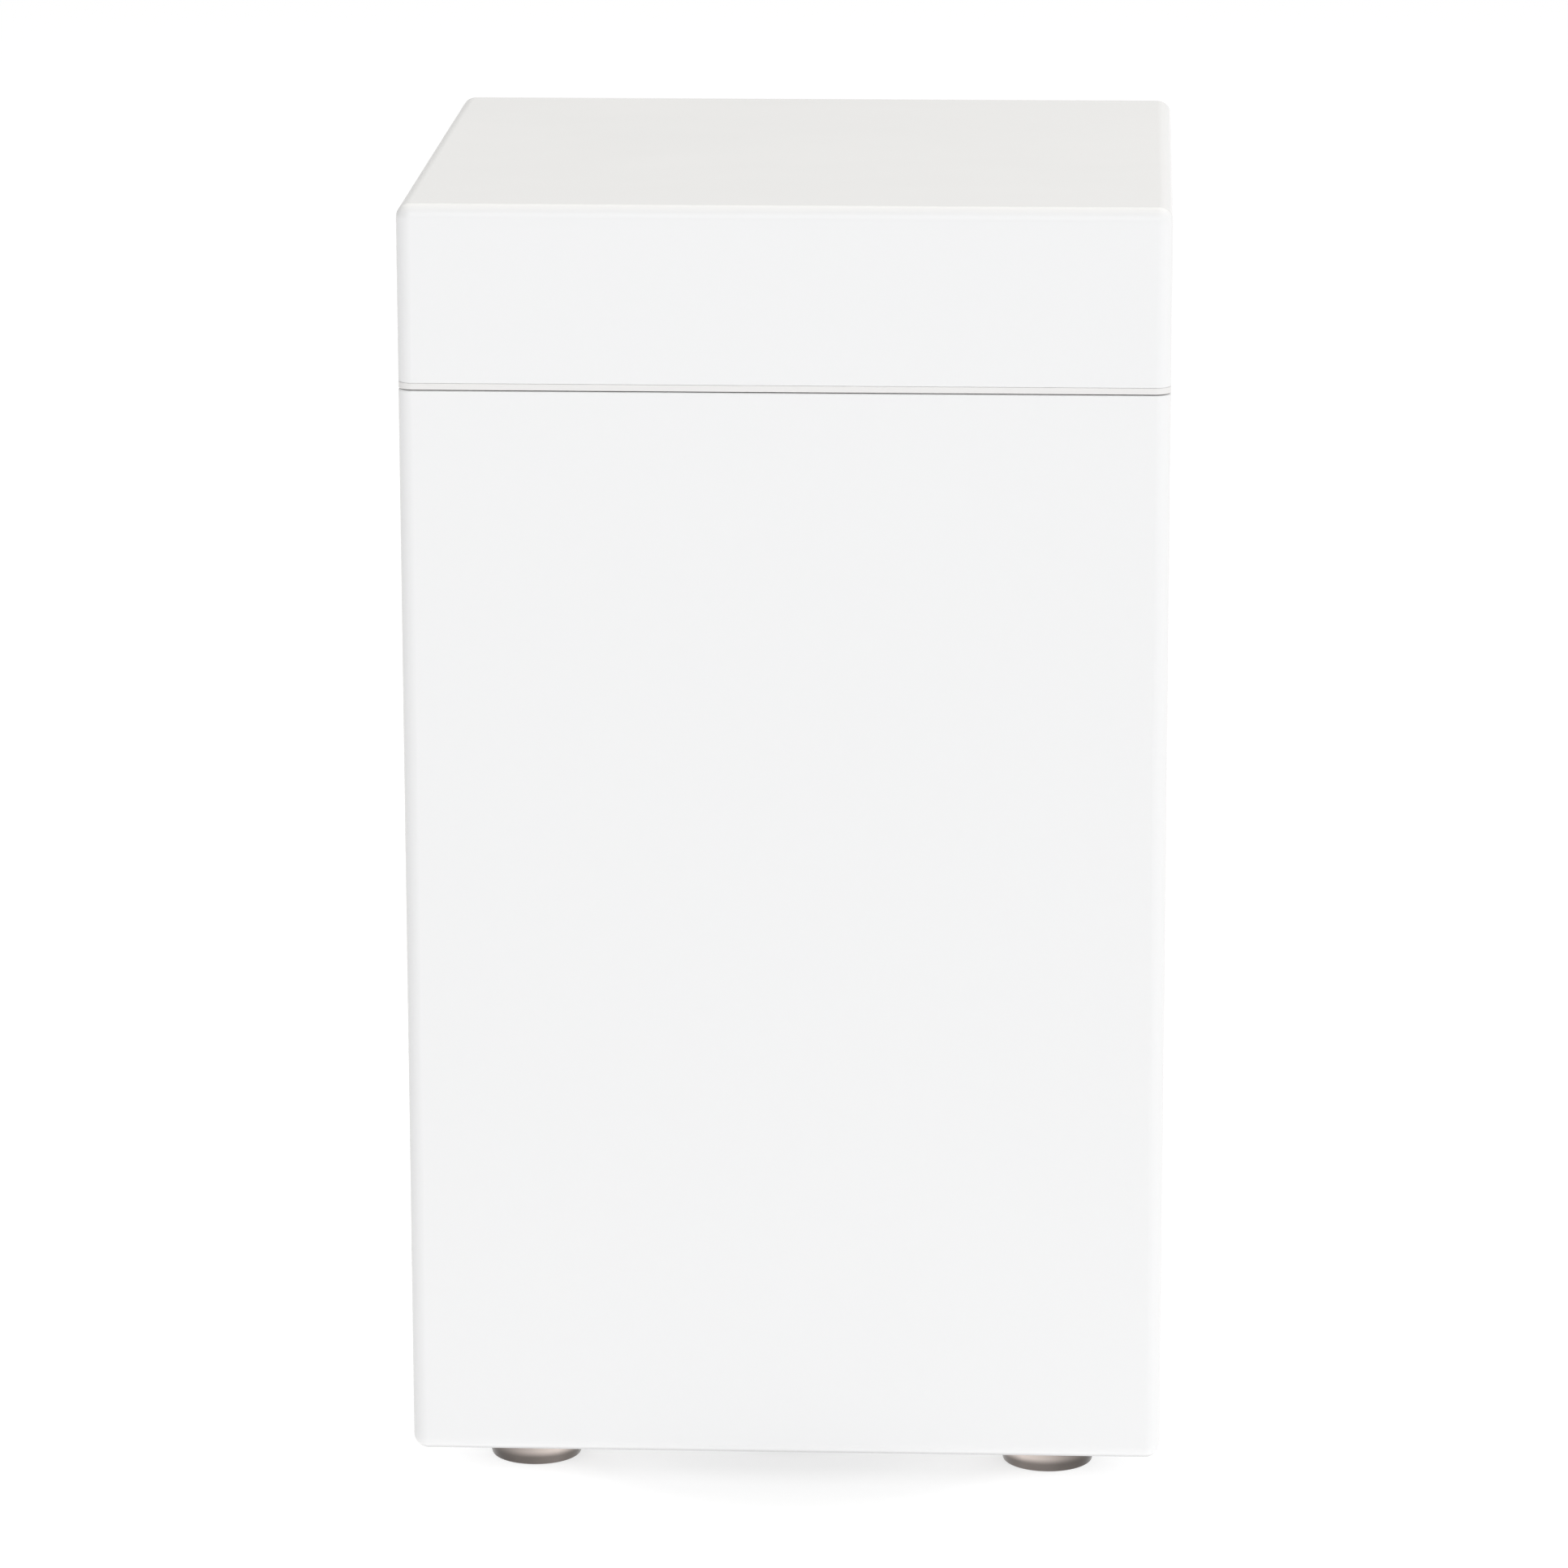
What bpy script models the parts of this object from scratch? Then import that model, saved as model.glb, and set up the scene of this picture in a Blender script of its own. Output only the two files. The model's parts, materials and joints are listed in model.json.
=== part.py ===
"""Mini fridge: front door, lift-up lid over a deck with the controls, four levelling feet.

Blender metres, +Z up, front towards -Y. The helpers below take millimetres.
"""

import math

import bmesh
import bpy
import numpy as np

MM = 0.001

# Outside
HALF_W = 200.0
FRONT_Y = -200.0
BACK_Y = 190.0
BODY_LOW = 23.0
SEAM_LOW = 600.4
SEAM_HIGH = 601.4
TOP_Z = 697.4
CORNER_R = 8.2
TOP_R = 7.3
BOTTOM_R = 7.8
SHEET = 1.2
GAP = 0.4

# Door and its hinge
DOOR_BACK_Y = -160.0
CABINET_FRONT_Y = -149.0
HINGE_X = 188.0
HINGE_Y = -180.0
PIN_R = 3.0

# Lid
RIM_H = 3.2
GROOVE = 0.4
LID_WALL = 2.6
LID_AXIS_Y = 195.4
LID_AXIS_Z = 601.0
KNUCKLE_R = 4.6

# Feet
FOOT_X = 139.3
FOOT_FRONT_Y = -130.0
FOOT_REAR_Y = 120.0
STEM_R = 4.0

# Cold space
CAVITY_X = 164.0
CAVITY_LOW = 60.0
CAVITY_TOP = 556.0
CAVITY_BACK_Y = 150.0
HUMP_Y = 26.0
HUMP_Z = 205.0
LINER = 1.6

# Deck
DECK_LOW = 588.0
DECK_FLOOR = 591.0
DECK_TOP = 600.0

# Machine space
COMPRESSOR_X = -50.0
COMPRESSOR_Y = 124.0
COMPRESSOR_R = 54.0
COIL_Y = 186.4

LOOKS = {
    "white_gloss": ((0.86, 0.86, 0.86), 0.12, 0.0),
    "white_lid": ((0.86, 0.86, 0.86), 0.12, 0.0),
    "white_plastic": ((0.80, 0.80, 0.79), 0.35, 0.0),
    "clear_plastic": ((0.78, 0.83, 0.85), 0.15, 0.0),
    "grey_plastic": ((0.30, 0.31, 0.32), 0.45, 0.0),
    "black_plastic": ((0.03, 0.03, 0.03), 0.40, 0.0),
    "rubber": ((0.05, 0.05, 0.05), 0.80, 0.0),
    "gasket": ((0.75, 0.75, 0.74), 0.60, 0.0),
    "foam": ((0.82, 0.78, 0.62), 0.90, 0.0),
    "satin_metal": ((0.62, 0.60, 0.57), 0.30, 1.0),
    "zinc": ((0.66, 0.67, 0.68), 0.40, 1.0),
    "aluminium": ((0.80, 0.81, 0.82), 0.35, 1.0),
    "copper": ((0.80, 0.42, 0.26), 0.30, 1.0),
    "black_enamel": ((0.02, 0.02, 0.02), 0.30, 0.0),
    "glass": ((0.70, 0.82, 0.80), 0.05, 0.0),
    "indicator": ((0.10, 0.65, 0.25), 0.25, 0.0),
}


# Shapes: each returns (points, faces) in millimetres


def box(x0, x1, y0, y1, z0, z1):
    return loft([rectangle(x0, x1, y0, y1, z) for z in (z0, z1)])


def rectangle(x0, x1, y0, y1, z):
    return np.array([(x0, y0, z), (x1, y0, z), (x1, y1, z), (x0, y1, z)], float)


def outline(x0, x1, y0, y1, z, front, back=None, steps=5):
    """Rounded rectangle at height z, with one radius for the two front corners and one for the two back ones."""
    back = front if back is None else back
    points = []
    for x, y, sx, sy, radius, start in (
        (x0, y0, 1, 1, front, 180),
        (x1, y0, -1, 1, front, 270),
        (x1, y1, -1, -1, back, 0),
        (x0, y1, 1, -1, back, 90),
    ):
        for step in range(steps + 1):
            angle = math.radians(start + 90 * step / steps)
            points.append((x + radius * (sx + math.cos(angle)), y + radius * (sy + math.sin(angle)), z))
    return np.array(points)


def loft(rings, loop=False):
    """Skin through rings of equal length: capped at both ends, or joined end to start."""
    rings = np.array(rings, float)
    count, size = rings.shape[:2]
    index = np.arange(count * size).reshape(count, size)
    faces = [] if loop else [tuple(index[0][::-1]), tuple(index[-1])]
    for a in range(count if loop else count - 1):
        low, high = index[a], index[(a + 1) % count]
        for b in range(size):
            c = (b + 1) % size
            faces.append((low[b], low[c], high[c], high[b]))
    return rings.reshape(-1, 3), faces


def turn(shape, order):
    """Shape with its coordinates taken in another order, such as (0, 2, 1) to lay z along y."""
    points, faces = shape
    return points[:, list(order)], faces


def shift(shape, x=0.0, y=0.0, z=0.0):
    return shape[0] + np.array((x, y, z)), shape[1]


def join(*shapes):
    """Several separate shapes as one set of points and faces."""
    points, faces, start = [], [], 0
    for more_points, more_faces in shapes:
        points.append(more_points)
        faces += [tuple(index + start for index in face) for face in more_faces]
        start += len(more_points)
    return np.concatenate(points), faces


def prism_x(profile, x0, x1):
    """Outline of (y, z) points carried along x."""
    return loft([[(x, y, z) for y, z in profile] for x in (x0, x1)])


def prism_y(profile, y0, y1):
    return loft([[(x, y, z) for x, z in profile] for y in (y0, y1)])


def prism_z(profile, z0, z1):
    return loft([[(x, y, z) for x, y in profile] for z in (z0, z1)])


def lathe(profile, x=0.0, y=0.0, steps=32):
    """Profile of (radius, z) points turned about a vertical line."""
    angles = np.linspace(0, 2 * math.pi, steps, endpoint=False)
    rings = []
    for radius, z in profile:
        rings.append(np.stack([x + radius * np.cos(angles), y + radius * np.sin(angles), np.full(steps, z)], 1))
    return loft(rings)


def cylinder(radius, z0, z1, x=0.0, y=0.0, steps=20):
    return lathe([(radius, z0), (radius, z1)], x, y, steps)


def rod_x(radius, x0, x1, y, z, steps=16):
    """Cylinder along x."""
    return shift(turn(cylinder(radius, x0, x1, steps=steps), (2, 0, 1)), y=y, z=z)


def arc(cx, cy, radius, start, end, steps=5):
    angles = np.radians(np.linspace(start, end, steps + 1))
    return [(cx + radius * math.cos(a), cy + radius * math.sin(a)) for a in angles]


def pan(x0, x1, y0, y1, z0, z1, wall, floor, radius, flare=0.0, steps=4):
    """Open-topped tray with walls that lean out by flare."""
    inner = max(radius - wall, 0.3)
    low = (x0 + flare, x1 - flare, y0 + flare, y1 - flare)
    return loft(
        [
            outline(*low, z0, radius, steps=steps),
            outline(x0, x1, y0, y1, z1, radius, steps=steps),
            outline(x0 + wall, x1 - wall, y0 + wall, y1 - wall, z1, inner, steps=steps),
            outline(low[0] + wall, low[1] - wall, low[2] + wall, low[3] - wall, z0 + floor, inner, steps=steps),
        ]
    )


def frame(x0, x1, y0, y1, z0, z1, band, radius, steps=4):
    """Flat ring of rectangular section."""
    inner = max(radius - band, 0.5)
    outer = [outline(x0, x1, y0, y1, z, radius, steps=steps) for z in (z0, z1)]
    inside = [
        outline(x0 + band, x1 - band, y0 + band, y1 - band, z, inner, steps=steps) for z in (z1, z0)
    ]
    return loft(outer + inside, loop=True)


def fillets(corners, radius, steps=4):
    """Polyline with each inner corner replaced by an arc."""
    corners = [np.array(c, float) for c in corners]
    path = [corners[0]]
    for before, here, after in zip(corners, corners[1:], corners[2:]):
        back, on = before - here, after - here
        reach = min(radius, 0.49 * np.linalg.norm(back), 0.49 * np.linalg.norm(on))
        back, on = back / np.linalg.norm(back), on / np.linalg.norm(on)
        half = 0.5 * math.acos(max(-1.0, min(1.0, float(back @ on))))
        bend = reach * math.tan(half)
        middle = here + (back + on) / np.linalg.norm(back + on) * bend / math.sin(half)
        start, end = here + back * reach - middle, here + on * reach - middle
        sweep = math.pi - 2 * half
        for step in range(steps + 1):
            t = step / steps
            path.append(middle + (start * math.sin((1 - t) * sweep) + end * math.sin(t * sweep)) / math.sin(sweep))
    path.append(corners[-1])
    return np.array(path)


def tube(corners, radius, bend=12.0, sides=8, steps=4):
    """Solid round rod along a polyline with rounded corners."""
    path = fillets(corners, bend, steps)
    ahead = np.gradient(path, axis=0)
    ahead[0], ahead[-1] = path[1] - path[0], path[-1] - path[-2]
    ahead /= np.linalg.norm(ahead, axis=1)[:, None]
    across = np.cross(ahead[0], (0.31, 0.52, 0.79))
    radii = np.broadcast_to(radius, len(path))
    angles = np.linspace(0, 2 * math.pi, sides, endpoint=False)
    rings = []
    for point, forward, size in zip(path, ahead, radii):
        across = across - forward * (across @ forward)
        across /= np.linalg.norm(across)
        other = np.cross(forward, across)
        rings.append(point + size * (np.outer(np.cos(angles), across) + np.outer(np.sin(angles), other)))
    return loft(rings)


# Objects


def material(look):
    found = bpy.data.materials.get(look)
    if found:
        return found
    colour, roughness, metallic = LOOKS[look]
    made = bpy.data.materials.new(look)
    made.use_nodes = True
    shader = made.node_tree.nodes["Principled BSDF"]
    shader.inputs["Base Color"].default_value = (*colour, 1.0)
    shader.inputs["Roughness"].default_value = roughness
    shader.inputs["Metallic"].default_value = metallic
    made.diffuse_color = (*colour, 1.0)
    return made


def tidy(mesh):
    work = bmesh.new()
    work.from_mesh(mesh)
    bmesh.ops.remove_doubles(work, verts=work.verts, dist=1e-6)
    bmesh.ops.recalc_face_normals(work, faces=work.faces)
    work.to_mesh(mesh)
    work.free()
    mesh.shade_smooth()
    mesh.set_sharp_from_angle(angle=math.radians(32))


def add(name, look, shape, pivot=(0.0, 0.0, 0.0)):
    """One object with its origin at the pivot."""
    points, faces = shape
    local = (points - np.array(pivot)) * MM
    mesh = bpy.data.meshes.new(name)
    mesh.from_pydata(local.tolist(), [], [tuple(int(index) for index in face) for face in faces])
    mesh.materials.append(material(look))
    tidy(mesh)
    obj = bpy.data.objects.new(name, mesh)
    obj.location = np.array(pivot) * MM
    bpy.context.scene.collection.objects.link(obj)
    return obj


def combine(obj, operation, *shapes):
    """Cuts the shapes from the object, or unites them with it, one after the other."""
    look = obj.data.materials[0].name
    for shape in shapes:
        tool = add("tool", look, shape)
        modifier = obj.modifiers.new("tool", "BOOLEAN")
        modifier.operation = operation
        modifier.solver = "EXACT"
        modifier.object = tool
        bpy.context.view_layer.update()
        graph = bpy.context.evaluated_depsgraph_get()
        result = bpy.data.meshes.new_from_object(obj.evaluated_get(graph))
        obj.modifiers.clear()
        before, obj.data = obj.data, result
        bpy.data.meshes.remove(before)
        bpy.data.objects.remove(tool)
    obj.data.materials.clear()
    obj.data.materials.append(material(look))
    obj.data.name = obj.name
    tidy(obj.data)
    return obj


def cut(obj, *shapes):
    return combine(obj, "DIFFERENCE", *shapes)


def unite(obj, *shapes):
    return combine(obj, "UNION", *shapes)


# Cabinet


def wrap_profile(inset):
    """Section of the sheet that makes both sides and the bottom: outside and back along the inside."""
    x, low, radius = HALF_W - inset, BODY_LOW + inset, BOTTOM_R - inset
    left = [(-x, SEAM_LOW)] + arc(-x + radius, low + radius, radius, 180, 270)
    return left + arc(x - radius, low + radius, radius, 270, 360) + [(x, SEAM_LOW)]


def stem_holes(radius, low, high, rows=(FOOT_FRONT_Y, FOOT_REAR_Y)):
    return join(*(cylinder(radius, low, high, sx * FOOT_X, y) for y in rows for sx in (-1, 1)))


def cabinet_wrap():
    profile = wrap_profile(0.0) + wrap_profile(SHEET)[::-1]
    obj = add("cabinet_wrap", "white_gloss", prism_y(profile, CABINET_FRONT_Y, 181.4))
    cut(obj, stem_holes(STEM_R + 0.6, 20.0, 26.0))


def base_plate():
    obj = add("base_plate", "zinc", box(-190, 190, -146, 180, 24.6, 26.6))
    cut(obj, stem_holes(STEM_R + 0.6, 22.0, 30.0))


def rear_profile():
    """Plan of a rear sheet with both edges bent forward round the corner."""
    path = []
    for inset in (0.0, SHEET):
        x, y, radius = HALF_W - inset, BACK_Y - inset, CORNER_R - inset
        bend = [(x, 181.8)] + arc(x - radius, y - radius, radius, 0, 90)
        bend += arc(-x + radius, y - radius, radius, 90, 180) + [(-x, 181.8)]
        path.append(bend)
    return path[0] + path[1][::-1]


def back_panel():
    add("back_panel", "white_plastic", prism_z(rear_profile(), 176.0, SEAM_LOW))


def compressor_cover():
    obj = add("compressor_cover", "grey_plastic", prism_z(rear_profile(), BODY_LOW, 175.6))
    slots = [box(-150, 20, 180, 200, z, z + 5) for z in range(62, 160, 13)]
    cut(obj, join(*slots), box(45.6, 76.4, 180, 200, 59.6, 84.4))


def insulation():
    def slab(name, *sides):
        return add(name, "foam", box(*sides))

    slab("insulation_left", -198.4, -166.0, -147.1, 182.0, 31.2, 587.6)
    slab("insulation_right", 166.0, 198.4, -147.1, 182.0, 31.2, 587.6)
    floor = slab("insulation_floor", -165.4, 165.4, -147.1, 27.4, 27.0, 58.0)
    cut(floor, stem_holes(6.5, 20.0, 43.0, (FOOT_FRONT_Y,)))
    step = [(28, 27), (58, 27), (58, 172), (184, 172), (184, 203), (28, 203)]
    add("insulation_step", "foam", prism_x(step, -165.4, 165.4))
    back = slab("insulation_back", -165.4, 165.4, 152.0, 184.0, 203.4, 587.6)
    cut(back, pipe_duct())
    top = slab("insulation_top", -165.4, 165.4, -147.1, 151.6, 558.0, 587.6)
    cut(top, capillary_hole())


def pipe_duct():
    """Slot through the back wall for the two pipes of the ice box."""
    return box(-141, -113, 140, 190, 494, 506)


def capillary_hole():
    return cylinder(3.0, 540, 598, 80, 138)


def compressor_shroud():
    sheet = [(58.6, 27.0), (59.8, 27.0), (59.8, 169.8), (184.0, 169.8), (184.0, 171.0), (58.6, 171.0)]
    add("compressor_shroud", "zinc", prism_x(sheet, -165.4, 165.4))


def inner_liner():
    def profile(grow, front):
        return [
            (front, CAVITY_LOW - grow),
            (HUMP_Y + grow, CAVITY_LOW - grow),
            (HUMP_Y + grow, HUMP_Z - grow),
            (CAVITY_BACK_Y + grow, HUMP_Z - grow),
            (CAVITY_BACK_Y + grow, CAVITY_TOP + grow),
            (front, CAVITY_TOP + grow),
        ]

    x = CAVITY_X + LINER
    obj = add("inner_liner", "white_plastic", prism_x(profile(LINER, -148.4), -x, x))
    flange = loft([outline(-198.4, 198.4, 24.6, 587.6, y, 6.2, 0.8) for y in (-149.0, -147.5)])
    unite(obj, turn(flange, (0, 2, 1)))
    cut(obj, prism_x(profile(0.0, -160.0), -CAVITY_X, CAVITY_X), pipe_duct(), capillary_hole())
    ledges = [
        box(min(a, b), max(a, b), -70, 140, z - 4, z)
        for z in (209.4, 340.4)
        for a, b in ((158.0, 164.6), (-158.0, -164.6))
    ]
    unite(obj, join(*ledges))


def top_deck():
    def layer(wall, z):
        x, back = 198.4 - wall, 188.4 - wall
        return outline(-x, x, CABINET_FRONT_Y + wall, back, z, max(1.0 - wall, 0.4), 6.6 - wall)

    rings = [layer(0, DECK_LOW), layer(0, DECK_TOP), layer(3, DECK_TOP), layer(3, DECK_FLOOR)]
    obj = add("top_deck", "white_plastic", loft(rings))
    cut(obj, cylinder(3.0, 580, 598, 80, 138))


# Controls under the lid


def control_console():
    shell = loft(
        [
            outline(-150, 150, 118, 172, 591.4, 5),
            outline(-150, 150, 118, 172, 624.5, 5),
            outline(-148.5, 148.5, 119.5, 170.5, 626.0, 3.5),
        ]
    )
    obj = add("control_console", "white_plastic", shell)
    hollow = loft([outline(-147.6, 147.6, 120.4, 169.6, z, 2.6) for z in (585.0, 623.6)])
    holes = join(
        cylinder(3.6, 615, 632, 80, 145),
        cylinder(3.0, 615, 632, 20, 145),
        box(-41, -15, 130, 160, 615, 632),
    )
    cut(obj, hollow, holes)


def thermostat():
    obj = add("thermostat", "grey_plastic", box(62, 98, 128, 162, 603, 623.2))
    unite(obj, cylinder(PIN_R, 620, 631, 80, 145))


def thermostat_knob():
    grip = lathe(
        [(0, 626.6), (15, 626.6), (15.5, 627.4), (14.2, 641), (13, 642.4), (0, 642.4)], 80, 145, 40
    )
    obj = add("thermostat_knob", "grey_plastic", grip, (80, 145, 626.6))
    cut(obj, cylinder(3.4, 620, 633, 80, 145))
    cut(obj, box(79.2, 80.8, 129, 145, 641.6, 645))


def thermostat_capillary():
    path = [(80, 138, 602.6), (80, 138, 551), (80, 60, 551)]
    add("thermostat_capillary", "copper", tube(path, 1.5, 5))


def indicator_lens():
    profile = [(0, 618), (2.5, 618), (2.5, 626.4), (4.5, 626.4), (4.2, 627.8), (2.6, 628.8), (0, 629.2)]
    add("indicator_lens", "indicator", lathe(profile, 20, 145, 24))


def power_rocker():
    tilt = math.radians(-8)
    shape = [(-9, -8), (9, -8), (12.5, 3), (12.5, 8), (0, 6), (-12.5, 8), (-12.5, 3)]
    turned = [
        (145 + y * math.cos(tilt) - z * math.sin(tilt), 622 + y * math.sin(tilt) + z * math.cos(tilt))
        for y, z in shape
    ]
    add("power_rocker", "black_plastic", prism_x(turned, -40, -16), (-28, 145, 622))


def serving_tray():
    shape = pan(-160, 160, -135, 105, 591.4, 613, 2.2, 2.4, 14, 5.0)
    obj = add("serving_tray", "white_plastic", shape, (0, -15, 591.4))
    for sx in (-1, 1):
        cut(obj, box(min(sx * 140, sx * 170), max(sx * 140, sx * 170), -45, 15, 600, 607))


# Lid


def lid_ring(inset, z):
    radius = max(CORNER_R - inset, 0.6)
    x = HALF_W - inset
    return outline(-x, x, FRONT_Y + inset, BACK_Y - inset, z, radius, steps=6)


def lid_shell():
    low = SEAM_HIGH + RIM_H + GROOVE
    rings = [lid_ring(0.5, low), lid_ring(0.0, low + 0.6)]
    rings += [lid_ring(TOP_R - i, z) for i, z in arc(0, TOP_Z - TOP_R, TOP_R, 0, 90, 6)]
    top, radius = TOP_Z - LID_WALL, TOP_R - LID_WALL
    rings += [lid_ring(LID_WALL + radius - i, z) for i, z in arc(0, top - radius, radius, 90, 0, 4)]
    rings.append(lid_ring(LID_WALL, low))
    points, faces = loft(rings, loop=True)
    # The loop is opened between the two top rings, where each gets its own cap.
    size = len(rings[0])
    crown, inner = 8, 9
    bridge = {(crown * size + b, crown * size + (b + 1) % size) for b in range(size)}
    faces = [face for face in faces if (face[0], face[1]) not in bridge]
    faces.append(tuple(range(crown * size, (crown + 1) * size)))
    faces.append(tuple(range(inner * size, (inner + 1) * size))[::-1])
    add("lid_shell", "white_lid", (points, faces), (0, LID_AXIS_Y, LID_AXIS_Z))


def lid_rim():
    low, high = SEAM_HIGH, SEAM_HIGH + RIM_H
    tongue = LID_WALL + 0.4
    rings = [
        lid_ring(0.6, low),
        lid_ring(0.0, low + 0.8),
        lid_ring(0.0, high - 0.3),
        lid_ring(0.3, high),
        lid_ring(tongue, high),
        lid_ring(tongue, high + 8),
        lid_ring(tongue + 2.2, high + 8),
        lid_ring(6.0, high),
        lid_ring(6.0, low),
    ]
    add("lid_rim", "white_plastic", loft(rings, loop=True), (0, LID_AXIS_Y, LID_AXIS_Z))


def lid_liner():
    shape = loft([outline(-191, 191, -191, 181, z, 5) for z in (690.4, 694.4)])
    add("lid_liner", "white_plastic", shape, (0, LID_AXIS_Y, LID_AXIS_Z))


def lid_hinges():
    """Each hinge has a fixed half with two outer barrels and the pin, and a wing with the middle barrel."""
    for side, x in (("left", -115.0), ("right", 115.0)):
        y, z = LID_AXIS_Y, LID_AXIS_Z
        plate = join(box(x - 25, x + 25, 190.3, 191.9, 568, 595))
        fixed = add("lid_hinge_" + side, "satin_metal", plate)
        for low, high in ((x - 25, x - 12.6), (x + 12.6, x + 25)):
            unite(fixed, box(low, high, 190.3, 191.9, 594, z), rod_x(KNUCKLE_R, low, high, y, z))
        unite(fixed, rod_x(2.0, x - 20, x + 20, y, z))
        pivot = (x, y, z)
        wing = add("lid_wing_" + side, "satin_metal", box(x - 25, x + 25, 190.3, 191.9, 608, 634), pivot)
        unite(wing, box(x - 12, x + 12, 190.3, 191.9, z, 609), rod_x(KNUCKLE_R, x - 12, x + 12, y, z))
        cut(wing, rod_x(2.4, x - 30, x + 30, y, z))


# Door


def door_block(x, front, back, low, high, corner, bottom, top):
    """Block with rounded front corners, a rounded bottom edge and a rounded top edge."""
    rings = []
    for inset, z in arc(0, low + bottom, bottom, 270, 360, 6):
        rings.append((bottom - inset, z))
    for inset, z in arc(0, high - top, top, 0, 90, 3):
        rings.append((top - inset, z))
    return loft(
        [outline(-x + d, x - d, front + d, back, z, max(corner - d, 0.3), 0.3) for d, z in rings]
    )


def pin_holes(radius):
    return join(
        cylinder(radius, 15, 44, HINGE_X, HINGE_Y), cylinder(radius, 580, 610, HINGE_X, HINGE_Y)
    )


def door_skin():
    shape = door_block(HALF_W, FRONT_Y, DOOR_BACK_Y, BODY_LOW, SEAM_LOW, CORNER_R, BOTTOM_R, 1.5)
    obj = add("door_skin", "white_gloss", shape, (HINGE_X, HINGE_Y, BODY_LOW))
    hollow = door_block(
        HALF_W - SHEET, FRONT_Y + SHEET, -150, BODY_LOW + SHEET, SEAM_LOW - SHEET, 7.0, 6.6, 0.4
    )
    cut(obj, hollow, pin_holes(PIN_R + 0.6), box(-210, -190, -186.4, -165.6, 379.6, 500.4))


def door_foam():
    inset = SHEET + GAP
    shape = door_block(
        HALF_W - inset, FRONT_Y + inset, -162, BODY_LOW + inset, SEAM_LOW - inset, 6.6, 6.2, 0.4
    )
    obj = add("door_foam", "foam", shape, (HINGE_X, HINGE_Y, BODY_LOW))
    cut(obj, pin_holes(PIN_R + 0.8), box(-210, -183.4, -186.4, -165.6, 379.6, 500.4))


def door_grip():
    """Finger cup let into the closing edge of the door."""
    shape = pan(-186, -166, 380, 500, 184, 200, 1.6, 1.6, 3)
    points, faces = turn(shape, (2, 0, 1))
    add("door_grip", "white_plastic", (points * (-1, 1, 1), faces), (HINGE_X, HINGE_Y, BODY_LOW))


def door_liner():
    plate = loft([outline(-198.4, 198.4, 24.6, 598.8, y, 6.2, 0.8) for y in (-161.6, -158.4)])
    obj = add("door_liner", "white_plastic", turn(plate, (0, 2, 1)), (HINGE_X, HINGE_Y, BODY_LOW))
    for sx in (-1, 1):
        near, far = sorted((sx * 136.0, sx * 148.0))
        dyke = loft(
            [
                outline(near, far, 70, 540, -159.4, 2),
                outline(near, far, 70, 540, -113, 2),
                outline(near + 2, far - 2, 72, 538, -110, 1),
            ]
        )
        unite(obj, turn(dyke, (0, 2, 1)))
        low, high = sorted((sx * 130.6, sx * 137.0))
        unite(obj, join(*(rod_x(4.0, low, high, -125, z + 24) for z in (80, 330))))


def door_gasket():
    shape = frame(-184, 184, 40, 585, -158.0, -149.4, 15, 6)
    add("door_gasket", "gasket", turn(shape, (0, 2, 1)), (HINGE_X, HINGE_Y, BODY_LOW))


def door_bins():
    for name, low, height in (("door_bin_lower", 80.0, 70.0), ("door_bin_upper", 330.0, 58.0)):
        shape = pan(-134.4, 134.4, -157.8, -88, low, low + height, 2.2, 2.4, 6)
        obj = add(name, "clear_plastic", shape, (0, -125, low + 24))
        slots = [
            box(min(a, b), max(a, b), -129.6, -120.4, low - 2, low + 28.4)
            for a, b in ((130, 137), (-130, -137))
        ]
        cut(obj, join(*slots))


def door_hinges():
    profile = [
        (-189, 600.8), (-143, 600.8), (-143, 591.4), (-112, 591.4),
        (-112, 593.8), (-140.6, 593.8), (-140.6, 603.2), (-189, 603.2),
    ]
    upper = add("door_hinge_upper", "zinc", prism_x(profile, 176, 193))
    unite(upper, cylinder(PIN_R, 586, 602, HINGE_X, HINGE_Y))
    plate = loft([outline(176, 195, -184.6, -100, z, 4) for z in (20.2, 22.6)])
    lower = add("door_hinge_lower", "zinc", plate)
    unite(lower, cylinder(PIN_R, 21, 38, HINGE_X, HINGE_Y))


# Cold space


def ice_box():
    def layer(inset, y):
        points = outline(-130 + inset, 130 - inset, 452 + inset, 546 - inset, y, 5 - inset)
        return points[:, [0, 2, 1]]

    shell = loft([layer(0, 130), layer(0, -55), layer(2, -55), layer(2, 128)])
    obj = add("ice_box", "aluminium", shell)
    hangers = [box(min(a, b), max(a, b), -20, 100, 545, 555.6) for a, b in ((100, 112), (-100, -112))]
    unite(obj, join(*hangers))
    ears, guides, tongues = [], [], []
    for sx in (-1, 1):
        low, high = sorted((sx * 128.6, sx * 130.6))
        ears.append(box(low, high, -64, -50, 534, 545))
        low, high = sorted((sx * 127.4, sx * 129.4))
        guides.append(box(low, high, -50, 128, 436, 453))
        low, high = sorted((sx * 118.0, sx * 128.4))
        tongues.append(box(low, high, -50, 128, 436, 438))
    unite(obj, join(*ears), join(*guides), join(*tongues))
    cut(obj, rod_x(1.9, -140, 140, -59, 541))


def ice_box_flap():
    pivot = (0, -59, 541)
    shape = loft([outline(-127.8, 127.8, 455, 540, y, 3) for y in (-60.6, -57.8)])
    obj = add("ice_box_flap", "clear_plastic", turn(shape, (0, 2, 1)), pivot)
    unite(obj, rod_x(2.6, -127.8, 127.8, -59, 541), rod_x(1.5, -130.4, 130.4, -59, 541))
    tab = loft([outline(-25, 25, -66, -60, z, 2) for z in (458, 461)])
    unite(obj, tab)


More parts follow.
